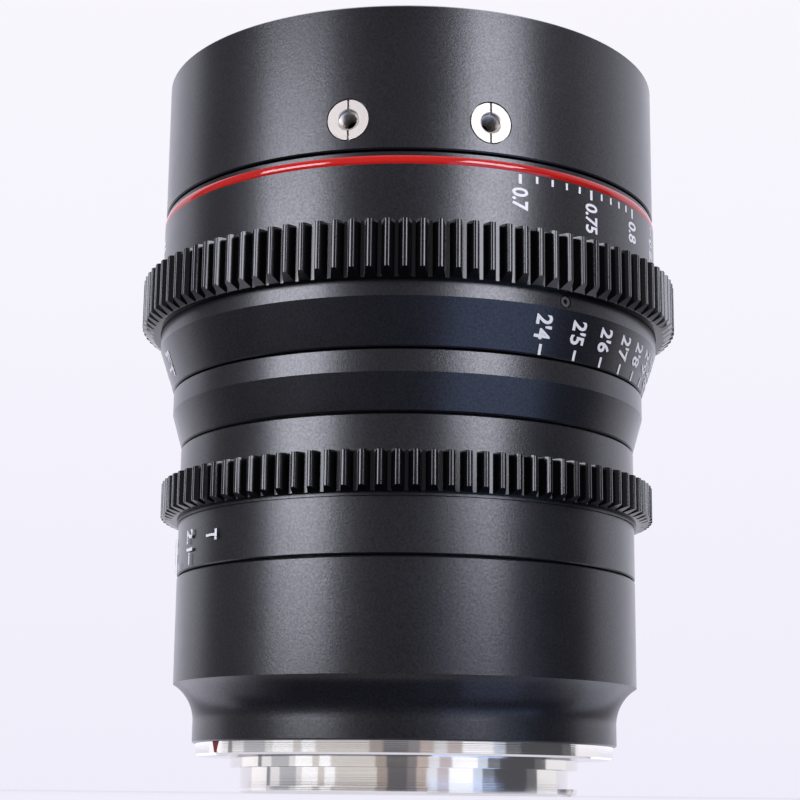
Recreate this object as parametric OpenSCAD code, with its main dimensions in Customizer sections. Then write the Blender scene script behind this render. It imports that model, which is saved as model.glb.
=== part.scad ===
// Cine prime lens with geared focus and iris rings and a three-lug bayonet.
// The centre of the flange face is the origin and the front of the lens points along +Z.
// Side angles are counted from the side that faces -Y, turning towards +X.

/* [Outer barrel] */
// Outer diameter of the fixed front ring
front_d = 80; // [79:0.5:82]
// Outer diameter of the focus ring beside its gear
focus_d = 80.3; // [79.5:0.1:82]
// Outer diameter of the focus ring at its rear edge
focus_rear_d = 75.72; // [75:0.1:78]
// Outer diameter of the fixed middle barrel
middle_d = 75.6; // [74:0.1:78]
// Outer diameter of the iris ring and of the rear barrel
rear_d = 72.6; // [71.6:0.1:74]
// Outer diameter of the rear barrel's foot
foot_d = 66.2; // [65:0.1:68]
// Length of the front ring
front_len = 22.3; // [21:0.1:26]
// Length of the focus ring
focus_len = 28.7; // [27.5:0.1:32]
// Length of the middle barrel
middle_len = 8.9; // [7.5:0.1:11]
// Length of the iris ring
iris_len = 20.2; // [19:0.1:24]
// Length of the rear barrel
rear_len = 25.4; // [24:0.1:28]
// Straight length of the foot below the cove
foot_len = 3.3; // [2.8:0.1:4]
// Radius of the cove between foot and barrel
cove_r = 6.6; // [5:0.1:8]
// Length of the cone at the rear of the focus ring
focus_cone_len = 6.9; // [5:0.1:8]
// Length of the cone at the rear of the middle barrel
middle_cone_len = 5.5; // [4:0.1:7]
// Running gap between neighbouring rings
ring_gap = 0.25; // [0.2:0.05:0.5]
// Bevel on the outer edges of the rings
edge_bevel = 0.2; // [0.1:0.05:0.4]

/* [Front opening] */
// Bore of the filter thread at its roots
filter_d = 77; // [75:0.1:77.4]
// Depth of the filter thread
filter_len = 5; // [4:0.5:6]
// Depth of the light baffle behind the filter thread
baffle_len = 7; // [5:0.5:8]
// Wall of the light baffle at its mouth
baffle_wall = 0.6; // [0.4:0.1:1]
// Number of steps of the light baffle
baffle_steps = 8; // [5:1:10]

/* [Accessory inserts] */
// Outer diameter of an accessory insert
insert_d = 6.15; // [5:0.05:6.5]
// Thread bore of an accessory insert at its roots
insert_bore_d = 3; // [2:0.1:3]
// Diameter of the countersink of an accessory insert
insert_sink_d = 3.3; // [3.1:0.1:4]
// Length of an accessory insert
insert_len = 4.8; // [4:0.1:5]
// Width of the driver slot in an accessory insert
insert_slot_w = 0.3; // [0.3:0.05:0.8]
// Depth of the driver slot
insert_slot_depth = 0.6; // [0.5:0.1:1.5]
// Height of the inserts above the rear edge of the front ring
insert_height = 4.7; // [4.3:0.1:5.5]
// Side angles of the two inserts
insert_angles = [-13.4, 17];

/* [Accent ring] */
// Height of the accent ring
accent_h = 1.3; // [1:0.1:1.5]
// Radial depth of the groove of the accent ring
accent_depth = 1.2; // [0.8:0.1:1.5]
// Height of the lip in front of the accent ring
accent_lip_h = 0.8; // [0.5:0.1:1.2]
// How far the accent ring's crown stands out of the focus ring
accent_crown = 0.05; // [0:0.05:0.2]

/* [Gears] */
// Module of both follow gears
gear_module = 0.8; // [0.8:0.1:1]
// Wall of the gear rings under their teeth
gear_web = 1.15; // [1.05:0.05:1.4]
// Face width of the focus gear
focus_gear_w = 8.3; // [7:0.1:9]
// Height of the focus gear above the rear edge of the focus ring
focus_gear_height = 9.3; // [9:0.1:10]
// Length of the chamfer at the rear ends of the focus teeth
focus_tooth_chamfer = 1.1; // [0.5:0.1:1.5]
// Face width of the iris gear
iris_gear_w = 5.8; // [5:0.1:6.5]
// Height of the iris gear above the rear edge of the iris ring
iris_gear_height = 8.8; // [8:0.1:10]
// Length of the chamfer at the rear ends of the iris teeth
iris_tooth_chamfer = 0.6; // [0.3:0.1:1]

/* [Bayonet] */
// Diameter of the flange
flange_d = 65; // [64:0.1:65.6]
// Thickness of the flange
flange_t = 2; // [1.9:0.1:3]
// Diameter of the register that centres the lens in the camera
register_d = 54.2; // [54:0.1:54.4]
// Length of the register
register_len = 1.6; // [1.2:0.1:2]
// Diameter of the neck that carries the lugs
neck_d = 51; // [50.5:0.1:51.5]
// Length of the bayonet behind the flange face
bayonet_len = 5.5; // [5:0.1:6]
// Diameter over the lugs
lug_d = 54; // [53.5:0.1:54.2]
// Thickness of a lug
lug_t = 1.1; // [0.9:0.1:1.6]
// Bevel on the rear edge of a lug
lug_bevel = 0.5; // [0.3:0.1:0.7]
// Angle that each lug spans
lug_span = 55; // [50:1:60]
// Bore through the bayonet
throat_d = 45; // [44:0.1:46]
// Diameter of the hole for the camera's lock pin
lock_hole_d = 2.6; // [2:0.1:2.8]
// Depth of the hole for the lock pin
lock_hole_depth = 1.7; // [1:0.1:1.8]

/* [Focus mechanism] */
// Outer diameter of the main tube
tube_d = 67.2; // [66.8:0.1:67.6]
// Diameter of the sliding lens carrier
carrier_d = 57; // [56.6:0.1:57.2]
// Diameter of the chamber of the helicoid ring
chamber_d = 63.2; // [62:0.1:63.6]
// Length of the helicoid ring
helicoid_len = 13.9; // [12:0.1:15]
// Length of the helicoid retainer
retainer_len = 2.5; // [2:0.1:3]
// Turn of the focus ring from infinity to its near stop, in degrees
focus_throw = 246.5; // [200:0.5:250]
// Forward travel of the lens carrier over that turn
focus_travel = 4.2; // [3:0.1:4.5]
// Diameter of the drive pins of both rings
drive_pin_d = 3; // [2.5:0.1:3.2]
// Width of a guide key
key_w = 4; // [3:0.1:5]
// Length of a guide key
key_len = 10; // [8:0.5:11]
// Radial clearance of everything that turns or slides
running_fit = 0.05; // [0.03:0.01:0.06]
// Radial clearance of everything that is fixed in its seat
seat_fit = 0.02; // [0.01:0.01:0.03]

/* [Iris mechanism] */
// Turn of the iris ring from fully open to fully closed, in degrees
iris_throw = 70; // [60:1:75]
// Turn of the iris ring from fully open to its place at rest, in degrees
iris_rest = 26; // [0:1:40]
// Swing of each blade over the whole turn of the iris ring, in degrees
blade_swing = 32.8; // [25:0.1:34]
// Clear diameter of the open iris
iris_open_d = 25; // [22:0.5:26]
// Diameter of the circle of blade pivots
pivot_circle_d = 40; // [39.6:0.1:40.4]
// Diameter of the pivot pins and of the follower pins
blade_pin_d = 0.9; // [0.8:0.05:1]
// Length of the follower arm of a blade
follower_arm = 6; // [5.5:0.1:6.2]
// Width of a blade across its crescent
blade_w = 6; // [5.5:0.1:6.2]
// Thickness of a blade
blade_t = 0.12; // [0.08:0.01:0.14]
// Height from one blade to the next
blade_pitch = 0.24; // [0.24:0.01:0.28]

/* [Glass] */
// Diameter of the front glass
front_glass_d = 51.8; // [51:0.1:52]
// Diameter of the second glass
second_glass_d = 46.8; // [46:0.1:47.4]
// Diameter of the third glass
third_glass_d = 40.8; // [40:0.1:42]
// Diameter of the fourth glass
fourth_glass_d = 35.8; // [35:0.1:37]
// Diameter of the glass behind the iris
fifth_glass_d = 33.8; // [33:0.1:34.4]
// Diameter of the two rear glasses
rear_glass_d = 34.8; // [34:0.1:35.4]
// Width of the seat around each glass
glass_seat = 1.5; // [1.2:0.1:2]

/* [Hidden] */
$fn = 96;
cut = 1;
wedge_step = 45;

// Round parts as radii
front_r = front_d / 2;
focus_r = focus_d / 2;
focus_rear_r = focus_rear_d / 2;
middle_r = middle_d / 2;
rear_r = rear_d / 2;
foot_r = foot_d / 2;
tube_r = tube_d / 2;
carrier_r = carrier_d / 2;
chamber_r = chamber_d / 2;
throat_r = throat_d / 2;
drive_pin_r = drive_pin_d / 2;
blade_pin_r = blade_pin_d / 2;

// Heights of the outer rings, from the flange towards the front
rear_z = flange_t;
rear_top = rear_z + rear_len;
iris_z = rear_top + ring_gap;
iris_top = iris_z + iris_len;
middle_z = iris_top + ring_gap;
middle_top = middle_z + middle_len;
focus_z = middle_top + ring_gap;
focus_top = focus_z + focus_len;
front_z = focus_top + ring_gap;
front_top = front_z + front_len;

// Front ring
filter_r = filter_d / 2;
filter_z = front_top - filter_len;
filter_lead = 0.4;
baffle_shoulder = 1.6;
baffle_seat_r = filter_r - baffle_shoulder;
baffle_z = filter_z - baffle_len;
baffle_floor = 0.9;
front_slack = 0.1;
insert_z = front_z + insert_height;
insert_face_r = front_r - edge_bevel / 4;
insert_rim_w = 0.2;
insert_rim_depth = 0.45;

// Focus ring and its bearing lands
land_r = tube_r + running_fit;
land_len = 3;
focus_relief = 2.4;
focus_relief_r = tube_r + focus_relief;
lip_step = 0.3;
accent_z = focus_top - accent_lip_h - accent_h;
accent_bulge = 0.2;
set_screw_d = 1.6;
set_screw_len = 1.8;
set_screw_sink = 0.05;
set_screw_rim_w = 0.2;
set_screw_rim_depth = 0.3;
set_screw_z = focus_z + (focus_cone_len + focus_gear_height) / 2;
set_screw_angle = 34.7;
set_screw_count = 3;
socket_d = 0.8;
socket_depth = 0.7;
focus_pin_z = focus_z + focus_gear_height + focus_gear_w / 2;
focus_pin_angle = 180;
focus_pin_head = 1.2;
pin_slack = 0.06;
stop_slack = 1.5;
slide_slack = 0.4;

// Iris ring
gear_collar_h = 0.5;
gear_collar_rise = 0.3;
iris_relief = 0.7;
iris_relief_r = tube_r + iris_relief;
iris_pin_height = 7.5;
iris_pin_z = iris_z + iris_pin_height;
iris_pin_angle = 90;
iris_pin_floor = 0.8;
washer_slack = 0.05;
washer_w = 1.6;

// Tooth form of both gears
pressure_angle = 20;
addendum_share = 1;
dedendum_share = 1.25;
focus_seat_r = focus_r + seat_fit;
iris_seat_r = rear_r + seat_fit;
focus_teeth = round(2 * (focus_seat_r + gear_web) / gear_module + 2 * dedendum_share);
iris_teeth = round(2 * (iris_seat_r + gear_web) / gear_module + 2 * dedendum_share);
tooth_top_chamfer = 0.15;
focus_tooth_angle = -1;
iris_tooth_angle = 1.6;

// Rear barrel
spigot_r = 28;
spigot_len = 2;
barrel_bore_r = 21;
tube_foot_height = 9.5;
tube_foot_z = rear_z + tube_foot_height;
cove_lap = 0.02;

// Bayonet
flange_bevel = 0.3;
lug_middle = -20.5;
lug_count = 3;
lug_root = 0.6;
mount_screw_d = 1.6;
mount_screw_head_d = 3.4;
mount_screw_len = 6.4;
mount_screw_circle_r = 29.9;
mount_screw_angle = 25;
mount_screw_count = 4;
driver_w = 0.4;
driver_depth = 0.4;
lock_hole_angle = 160;
index_angle = -59.3;
index_top_w = 2.2;
index_foot_w = 0.75;
index_depth = 0.6;
index_margin = 0.4;
rear_baffle_wall = 0.85;
rear_baffle_t = 1.2;
rear_baffle_sink = 0.7;
rear_baffle_z = rear_baffle_sink - bayonet_len;
rear_baffle_bore_r = 17.5;
rear_baffle_top = 1;

// Screws from the rear barrel into the main tube
barrel_screw_d = 2;
barrel_screw_head_d = 3.6;
barrel_screw_head_h = 1.8;
barrel_screw_sink = 3.5;
barrel_screw_len = 16;
barrel_screw_circle_r = 30.2;
barrel_screw_angle = 70;
barrel_screw_count = 4;

// Main tube
tube_front_z = baffle_z - front_slack;
chamber_height = 6.8;
chamber_z = focus_z + chamber_height;
retainer_z = chamber_z + helicoid_len + front_slack;
retainer_notch = 1.5;
retainer_notch_count = 4;
carrier_fit = 0.08;
key_height = 1.9;
key_z = middle_z + key_height;
key_cover = 2.6;
key_foot_r = tube_r - key_cover;
key_count = 2;
key_tip = 1.5;

// Lens carrier, from its rear face to its front face at infinity focus
carrier_drop = 3.7;
carrier_z = iris_z - carrier_drop;
iris_bore_r = 26;
iris_ceiling_height = 15.5;
iris_ceiling_z = iris_z + iris_ceiling_height;
iris_ceiling_t = 2.8;
fourth_seat_z = iris_ceiling_z + iris_ceiling_t;
third_seat_height = 9.9;
third_seat_z = middle_z + third_seat_height;
second_seat_rise = 14;
second_seat_z = third_seat_z + second_seat_rise;
front_seat_rise = 12;
front_seat_z = second_seat_z + front_seat_rise;
carrier_sink = 2.5;
carrier_front_z = baffle_z - carrier_sink;
glass_fit = 0.1;
spacer_wall = 1.5;
spacer_slack = 0.1;
name_flange_h = 1.6;
name_inset = 0.1;
name_r = carrier_r - name_inset;
name_bevel = 1.1;

// Glass forms as shares of each glass's diameter: edge, front bulge, rear bulge
front_glass_shares = [0.09, 0.095, -0.05];
second_glass_shares = [0.12, 0.06, -0.05];
third_glass_shares = [0.16, 0.07, -0.08];
fourth_glass_shares = [0.14, -0.055, 0.03];
fifth_glass_shares = [0.115, -0.06, 0.04];
sixth_glass_shares = [0.14, 0.05, 0.04];
last_glass_shares = [0.1, -0.035, 0.045];

// Rear cell
cell_flange_t = 3;
cell_flange_z = carrier_z - cell_flange_t;
cell_flange_inset = 0.2;
cell_flange_r = carrier_r - cell_flange_inset;
cell_spigot_len = 2;
cell_nose_len = 10;
cell_top = carrier_z + cell_nose_len;
cell_rear_z = -1.5;
cell_front_r = 21.5;
cell_clearance = 0.5;
cell_rear_r = barrel_bore_r - cell_clearance;
fifth_seat_depth = 6;
fifth_seat_z = cell_top - fifth_seat_depth;
sixth_seat_drop = 10;
sixth_seat_z = fifth_seat_z - sixth_seat_drop;
web_relief = 0.1;
cell_web_r = rear_glass_d / 2 - glass_seat + web_relief;
cell_screw_d = 1.2;
cell_screw_head_d = 2;
cell_screw_head_h = 1;
cell_screw_len = 5;
cell_screw_circle_r = 27.1;
cell_screw_angle = 0;
cell_screw_count = 3;
last_glass_rise = 2.5;
last_glass_z = cell_rear_z + last_glass_rise;
ring_notch_w = 1.2;
ring_notch_depth = 0.8;
ring_notch_count = 2;

// Iris unit, from the base plate down to the retaining ring
base_plate_t = 1.2;
base_plate_z = iris_ceiling_z - base_plate_t;
blade_count = 9;
blade_slack = 0.1;
stack_z = base_plate_z - blade_slack - (blade_count - 1) * blade_pitch - blade_t;
cam_ring_t = 1.4;
cam_slot_depth = 0.9;
cam_ring_top = stack_z - blade_slack;
cam_ring_z = cam_ring_top - cam_ring_t;
cam_ring_bore_r = 14;
snap_ring_t = 1;
snap_ring_wall = 1.4;
snap_ring_z = cam_ring_z - blade_slack - snap_ring_t;
fork_inner_r = 22.2;
fork_outer_r = 24.2;
fork_prong_w = 2;
fork_overlap = 0.3;
fork_foot_z = iris_pin_z - focus_travel - drive_pin_r - fork_overlap;
fork_pin_inset = 0.4;
fork_pin_r = fork_inner_r + fork_pin_inset;

// Blades
pivot_r = pivot_circle_d / 2;
blade_margin = 0.4;
blade_edge_r = iris_open_d / 2 + blade_margin;
blade_outer_r = blade_edge_r + blade_w;
blade_arc = 115;
blade_heel_arc = 6;
blade_tip_share = 0.6;
blade_tip_r = blade_tip_share * blade_w;
blade_ear_r = 1.5;
blade_arm_w = 1.4;
blade_pad_r = 0.9;
arm_direction = -98;
blade_ratio = blade_swing / iris_throw;
cam_slot_w = blade_pin_d + 2 * running_fit;
cam_slot_overrun = 1.5;
cam_slot_steps = 16;
slot_end_steps = 5;

// Turns its children from +X to a side angle
module facing(angle) {
    rotate([0, 0, angle - 90]) children();
}

// Points its children's +Z outward at a side angle and a height
module radial(angle, z) {
    facing(angle) translate([0, 0, z]) rotate([0, 90, 0]) children();
}

// Repeats its children around the axis
module around(count, first) {
    for (k = [0 : count - 1]) {
        facing(first + k * 360 / count) children();
    }
}

// Plain ring between two heights
module ring(outer_r, inner_r, z, top) {
    difference() {
        translate([0, 0, z]) cylinder(r = outer_r, h = top - z);
        translate([0, 0, z - cut]) cylinder(r = inner_r, h = top - z + 2 * cut);
    }
}

// Solid of revolution from an outline of [radius, height] points
module revolved(points) {
    rotate_extrude() polygon(points);
}

// Flat wedge from one angle to another, wider than radius r everywhere
module wedge(r, from, to) {
    steps = ceil((to - from) / wedge_step);
    step = (to - from) / steps;
    corner_r = r / cos(step / 2);
    polygon(concat(
        [[0, 0]],
        [for (k = [0 : steps]) corner_r * [cos(from + k * step), sin(from + k * step)]]));
}

// Square-ended window through a wall for a pin that sweeps from one side angle to another
module pin_window(inner_r, outer_r, z, top, from, to) {
    facing(0) intersection() {
        ring(outer_r, inner_r, z, top);
        translate([0, 0, z - cut]) linear_extrude(top - z + 2 * cut) wedge(outer_r + cut, from, to);
    }
}

// Angle that a pin and a slack span on a radius
function span_angle(length, r) = length / r * 180 / PI;

// Involute function, in degrees
function involute(angle) = tan(angle) * 180 / PI - angle;

// Half of a tooth's angle at a radius
function tooth_half_angle(teeth, r) =
    90 / teeth + involute(pressure_angle)
    - involute(acos(min(1, teeth * gear_module / 2 * cos(pressure_angle) / r)));

function tip_radius(teeth) = (teeth / 2 + addendum_share) * gear_module;

function root_radius(teeth) = (teeth / 2 - dedendum_share) * gear_module;

// Outline of a spur gear, each flank an involute from root over pitch circle to tip
function gear_points(teeth) =
    let (root = root_radius(teeth), pitch = teeth * gear_module / 2, tip = tip_radius(teeth))
    [
        for (k = [0 : teeth - 1])
            for (corner = [[-1, root], [-1, pitch], [-1, tip], [1, tip], [1, pitch], [1, root]])
                let (a = k * 360 / teeth + corner[0] * tooth_half_angle(teeth, corner[1]))
                    corner[1] * [cos(a), sin(a)]];

// Gear ring with a tooth at a side angle, its teeth chamfered at their rear ends
module gear_ring(teeth, angle, bore_r, z, width, chamfer) {
    tip_r = tip_radius(teeth);
    root_r = root_radius(teeth);
    rear_r = root_r + tooth_top_chamfer;
    intersection() {
        difference() {
            translate([0, 0, z]) facing(angle) linear_extrude(width) polygon(gear_points(teeth));
            translate([0, 0, z - cut]) cylinder(r = bore_r, h = width + 2 * cut);
        }
        revolved([
            [0, z - cut], [rear_r, z - cut], [rear_r, z], [tip_r + tooth_top_chamfer, z + chamfer],
            [tip_r + tooth_top_chamfer, z + width - 2 * tooth_top_chamfer],
            [tip_r - tooth_top_chamfer, z + width], [tip_r - tooth_top_chamfer, z + width + cut],
            [0, z + width + cut]]);
    }
}

// Cap of a sphere that stands on the XY plane
module spherical_cap(d, bulge) {
    r = (d * d / 4 + bulge * bulge) / (2 * bulge);
    intersection() {
        translate([0, 0, bulge - r]) sphere(r = r);
        cylinder(d = d + 2 * cut, h = bulge + cut);
    }
}

// Sphere that hollows the XY plane from above
module spherical_bowl(d, bulge) {
    r = (d * d / 4 + bulge * bulge) / (2 * bulge);
    translate([0, 0, r - bulge]) sphere(r = r);
}

// Glass element whose rear seat lies at z; shares are edge, front bulge and rear bulge
module glass(d, z, shares) {
    edge = shares[0] * d;
    front = shares[1] * d;
    rear = shares[2] * d;
    clear_d = d - 2 * glass_seat;
    translate([0, 0, z]) difference() {
        union() {
            cylinder(d = d, h = edge);
            if (front > 0) translate([0, 0, edge]) spherical_cap(clear_d, front);
            if (rear > 0) mirror([0, 0, 1]) spherical_cap(clear_d, rear);
        }
        if (front < 0) translate([0, 0, edge]) spherical_bowl(clear_d, -front);
        if (rear < 0) mirror([0, 0, 1]) spherical_bowl(clear_d, -rear);
    }
}

// Socket screw along +Z with its head's face at height zero
module countersunk_screw(d, head_d, length) {
    head_h = (head_d - d) / 2;
    difference() {
        union() {
            cylinder(d1 = head_d, d2 = d, h = head_h);
            cylinder(d = d, h = length);
        }
        translate([-driver_w / 2, -head_d / 2, -cut]) cube([driver_w, head_d, driver_depth + cut]);
        translate([-head_d / 2, -driver_w / 2, -cut]) cube([head_d, driver_w, driver_depth + cut]);
    }
}

// Hole of a countersunk screw, a seat fit larger all round
module countersunk_hole(d, head_d, length) {
    head_h = (head_d - d) / 2;
    translate([0, 0, -cut]) cylinder(r = head_d / 2 + seat_fit, h = cut + seat_fit);
    translate([0, 0, seat_fit]) cylinder(r1 = head_d / 2 + seat_fit, r2 = d / 2 + seat_fit, h = head_h);
    cylinder(r = d / 2 + seat_fit, h = length + seat_fit);
}

module bayonet_mount() color("silver") {
    flange_r = flange_d / 2;
    register_r = register_d / 2;
    neck_r = neck_d / 2;
    difference() {
        union() {
            revolved([
                [throat_r, -bayonet_len], [neck_r - flange_bevel, -bayonet_len],
                [neck_r, flange_bevel - bayonet_len], [neck_r, -register_len], [register_r, -register_len],
                [register_r, 0], [flange_r - flange_bevel, 0], [flange_r, flange_bevel],
                [flange_r, flange_t], [spigot_r, flange_t], [spigot_r, flange_t + spigot_len],
                [throat_r, flange_t + spigot_len]]);
            for (k = [0 : lug_count - 1]) {
                facing(lug_middle + k * 360 / lug_count) lug();
            }
        }
        around(mount_screw_count, mount_screw_angle) translate([mount_screw_circle_r, 0, 0])
            countersunk_hole(mount_screw_d, mount_screw_head_d, flange_t + cut);
        facing(lock_hole_angle) translate([mount_screw_circle_r, 0, -cut])
            cylinder(d = lock_hole_d, h = lock_hole_depth + cut);
        index_wedge(seat_fit);
    }
}

// One lug of the bayonet, centred on +X
module lug() {
    lug_r = lug_d / 2;
    root_r = neck_d / 2 - lug_root;
    top = lug_t - bayonet_len;
    intersection() {
        revolved([
            [root_r, -bayonet_len], [lug_r - lug_bevel, -bayonet_len], [lug_r, lug_bevel - bayonet_len],
            [lug_r, top], [root_r, top]]);
        translate([0, 0, -bayonet_len - cut]) linear_extrude(lug_t + 2 * cut)
            wedge(lug_r + cut, -lug_span / 2, lug_span / 2);
    }
}

module mount_screws() color("lightgray") {
    around(mount_screw_count, mount_screw_angle) translate([mount_screw_circle_r, 0, 0])
        countersunk_screw(mount_screw_d, mount_screw_head_d, mount_screw_len);
}

// Tapered wedge in the rim of the flange
module index_wedge(clearance) {
    top = flange_t + clearance;
    foot = index_margin - clearance;
    facing(index_angle) translate([flange_d / 2 - index_depth - clearance, 0, 0]) rotate([90, 0, 90])
        linear_extrude(index_depth + clearance * (1 + cut))
            polygon([
                [-index_top_w / 2 - clearance, top], [-index_foot_w / 2 - clearance, foot],
                [index_foot_w / 2 + clearance, foot], [index_top_w / 2 + clearance, top]]);
}

module mount_index() color("firebrick") index_wedge(0);

module rear_baffle() color("black") {
    outer_r = throat_r - running_fit;
    revolved([
        [rear_baffle_bore_r, rear_baffle_z], [outer_r, rear_baffle_z], [outer_r, rear_baffle_top],
        [outer_r - rear_baffle_wall, rear_baffle_top],
        [outer_r - rear_baffle_wall, rear_baffle_z + rear_baffle_t],
        [rear_baffle_bore_r, rear_baffle_z + rear_baffle_t]]);
}

module rear_barrel() color("dimgray") {
    bore_r = tube_r + seat_fit;
    cove_z = rear_z + foot_len;
    difference() {
        rotate_extrude() difference() {
            polygon([
                [barrel_bore_r, rear_z + spigot_len], [spigot_r + seat_fit, rear_z + spigot_len],
                [spigot_r + seat_fit, rear_z], [foot_r - edge_bevel, rear_z], [foot_r, rear_z + edge_bevel],
                [foot_r, cove_z], [rear_r, cove_z], [rear_r, rear_top - edge_bevel],
                [rear_r - edge_bevel, rear_top], [bore_r, rear_top], [bore_r, tube_foot_z],
                [barrel_bore_r, tube_foot_z]]);
            translate([foot_r + cove_r - cove_lap, cove_z]) circle(r = cove_r);
        }
        around(mount_screw_count, mount_screw_angle) translate([mount_screw_circle_r, 0, 0])
            cylinder(r = mount_screw_d / 2 + seat_fit, h = mount_screw_len + front_slack);
        around(barrel_screw_count, barrel_screw_angle) translate([barrel_screw_circle_r, 0, 0]) {
            cylinder(r = barrel_screw_d / 2 + seat_fit, h = tube_foot_z + cut);
            cylinder(r = barrel_screw_head_d / 2 + seat_fit, h = rear_z + barrel_screw_sink);
        }
    }
}

module barrel_screws() color("gray") {
    around(barrel_screw_count, barrel_screw_angle)
        translate([barrel_screw_circle_r, 0, rear_z + barrel_screw_sink]) {
            cylinder(d = barrel_screw_d, h = barrel_screw_len);
            mirror([0, 0, 1]) difference() {
                cylinder(d = barrel_screw_head_d, h = barrel_screw_head_h);
                translate([0, 0, barrel_screw_head_h - socket_depth])
                    cylinder(d = barrel_screw_d, h = socket_depth + cut, $fn = 6);
            }
        }
}

module main_tube() color("slategray") {
    bore_r = carrier_r + carrier_fit;
    slack = span_angle(drive_pin_r + stop_slack, tube_r);
    difference() {
        revolved([
            [bore_r, tube_foot_z], [tube_r, tube_foot_z], [tube_r, tube_front_z],
            [chamber_r, tube_front_z], [chamber_r, chamber_z], [bore_r, chamber_z]]);
        pin_window(bore_r - cut, tube_r + cut, iris_pin_z - drive_pin_r - pin_slack,
            iris_pin_z + drive_pin_r + pin_slack, iris_pin_angle - iris_rest - slack,
            iris_pin_angle + iris_throw - iris_rest + slack);
        pin_window(chamber_r - cut, tube_r + cut, focus_pin_z - drive_pin_r - pin_slack,
            focus_pin_z + drive_pin_r + pin_slack, focus_pin_angle - slack,
            focus_pin_angle + focus_throw + slack);
        around(key_count, 0) translate([bore_r - cut, -key_w / 2 - seat_fit, key_z - seat_fit])
            cube([key_foot_r - bore_r + cut + seat_fit, key_w + 2 * seat_fit, key_len + 2 * seat_fit]);
        around(barrel_screw_count, barrel_screw_angle)
            translate([barrel_screw_circle_r, 0, tube_foot_z - cut])
                cylinder(r = barrel_screw_d / 2 + seat_fit,
                    h = rear_z + barrel_screw_sink + barrel_screw_len + front_slack - tube_foot_z + cut);
    }
}

module guide_keys() color("goldenrod") {
    tip_r = carrier_r - key_tip;
    around(key_count, 0) translate([tip_r, -key_w / 2, key_z])
        cube([key_foot_r - tip_r, key_w, key_len]);
}

// Thin washer in the running gap above height z
module thrust_washer(z) {
    ring(land_r + washer_w, land_r, z + washer_slack, z + ring_gap - washer_slack);
}

module iris_thrust_washers() color("black") {
    thrust_washer(rear_top);
    thrust_washer(iris_top);
}

module focus_thrust_washers() color("black") {
    thrust_washer(middle_top);
    thrust_washer(focus_top);
}

module iris_ring() color("dimgray") {
    collar_top = iris_z + iris_gear_height - seat_fit;
    collar_r = rear_r + gear_collar_rise;
    difference() {
        revolved([
            [land_r, iris_z], [rear_r - edge_bevel, iris_z], [rear_r, iris_z + edge_bevel],
            [rear_r, collar_top - gear_collar_h], [collar_r, collar_top - gear_collar_h],
            [collar_r, collar_top], [rear_r, collar_top], [rear_r, iris_top - edge_bevel],
            [rear_r - edge_bevel, iris_top], [land_r, iris_top], [land_r, iris_top - land_len],
            [iris_relief_r, iris_top - land_len], [iris_relief_r, iris_z + land_len],
            [land_r, iris_z + land_len]]);
        radial(iris_pin_angle, iris_pin_z) cylinder(r = drive_pin_r + seat_fit, h = rear_r - iris_pin_floor);
    }
}

module iris_gear() color("black") {
    gear_ring(iris_teeth, iris_tooth_angle, iris_seat_r, iris_z + iris_gear_height, iris_gear_w,
        iris_tooth_chamfer);
}

module iris_drive_pin() color("lightgray") {
    radial(iris_pin_angle, iris_pin_z) translate([0, 0, fork_pin_r])
        cylinder(r = drive_pin_r, h = rear_r - iris_pin_floor - seat_fit - fork_pin_r);
}

module middle_barrel() color("dimgray") {
    bore_r = tube_r + seat_fit;
    revolved([
        [bore_r, middle_z], [rear_r - edge_bevel, middle_z], [rear_r, middle_z + edge_bevel],
        [middle_r, middle_z + middle_cone_len], [middle_r, middle_top - edge_bevel],
        [middle_r - edge_bevel, middle_top], [bore_r, middle_top]]);
}

module focus_ring() color("dimgray") {
    lip_r = focus_r - lip_step;
    groove_r = focus_r - accent_depth;
    difference() {
        revolved([
            [land_r, focus_z], [focus_rear_r - edge_bevel, focus_z], [focus_rear_r, focus_z + edge_bevel],
            [focus_r, focus_z + focus_cone_len], [focus_r, accent_z], [groove_r, accent_z],
            [groove_r, accent_z + accent_h], [lip_r, accent_z + accent_h],
            [lip_r, focus_top - edge_bevel], [lip_r - edge_bevel, focus_top], [land_r, focus_top],
            [land_r, focus_top - land_len], [focus_relief_r, focus_top - land_len],
            [focus_relief_r, focus_z + land_len], [land_r, focus_z + land_len]]);
        radial(focus_pin_angle, focus_pin_z) cylinder(r = drive_pin_r + seat_fit, h = focus_r + cut);
        for (k = [0 : set_screw_count - 1]) {
            radial(set_screw_angle + k * 360 / set_screw_count, set_screw_z) {
                translate([0, 0, tube_r]) cylinder(r = set_screw_d / 2 + seat_fit, h = focus_r);
                translate([0, 0, focus_r - set_screw_rim_depth])
                    cylinder(r = set_screw_d / 2 + set_screw_rim_w, h = set_screw_rim_depth + cut);
            }
        }
    }
}

module focus_gear() color("black") {
    gear_ring(focus_teeth, focus_tooth_angle, focus_seat_r, focus_z + focus_gear_height, focus_gear_w,
        focus_tooth_chamfer);
}

module accent_ring() color("red") {
    crown_r = (accent_h * accent_h / 4 + accent_bulge * accent_bulge) / (2 * accent_bulge);
    seat_r = focus_r - accent_depth + seat_fit;
    rotate_extrude() translate([0, accent_z + accent_h / 2]) intersection() {
        translate([seat_r, seat_fit - accent_h / 2])
            square([accent_depth + accent_crown + cut, accent_h - 2 * seat_fit]);
        translate([focus_r + accent_crown - crown_r, 0]) circle(r = crown_r + seat_fit);
    }
}

module focus_set_screws() color("gray") {
    tip_r = focus_r - set_screw_sink - set_screw_len;
    for (k = [0 : set_screw_count - 1]) {
        radial(set_screw_angle + k * 360 / set_screw_count, set_screw_z) translate([0, 0, tip_r])
            difference() {
                cylinder(d = set_screw_d, h = set_screw_len);
                translate([0, 0, set_screw_len - socket_depth])
                    cylinder(d = socket_d, h = socket_depth + cut, $fn = 6);
            }
    }
}

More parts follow.
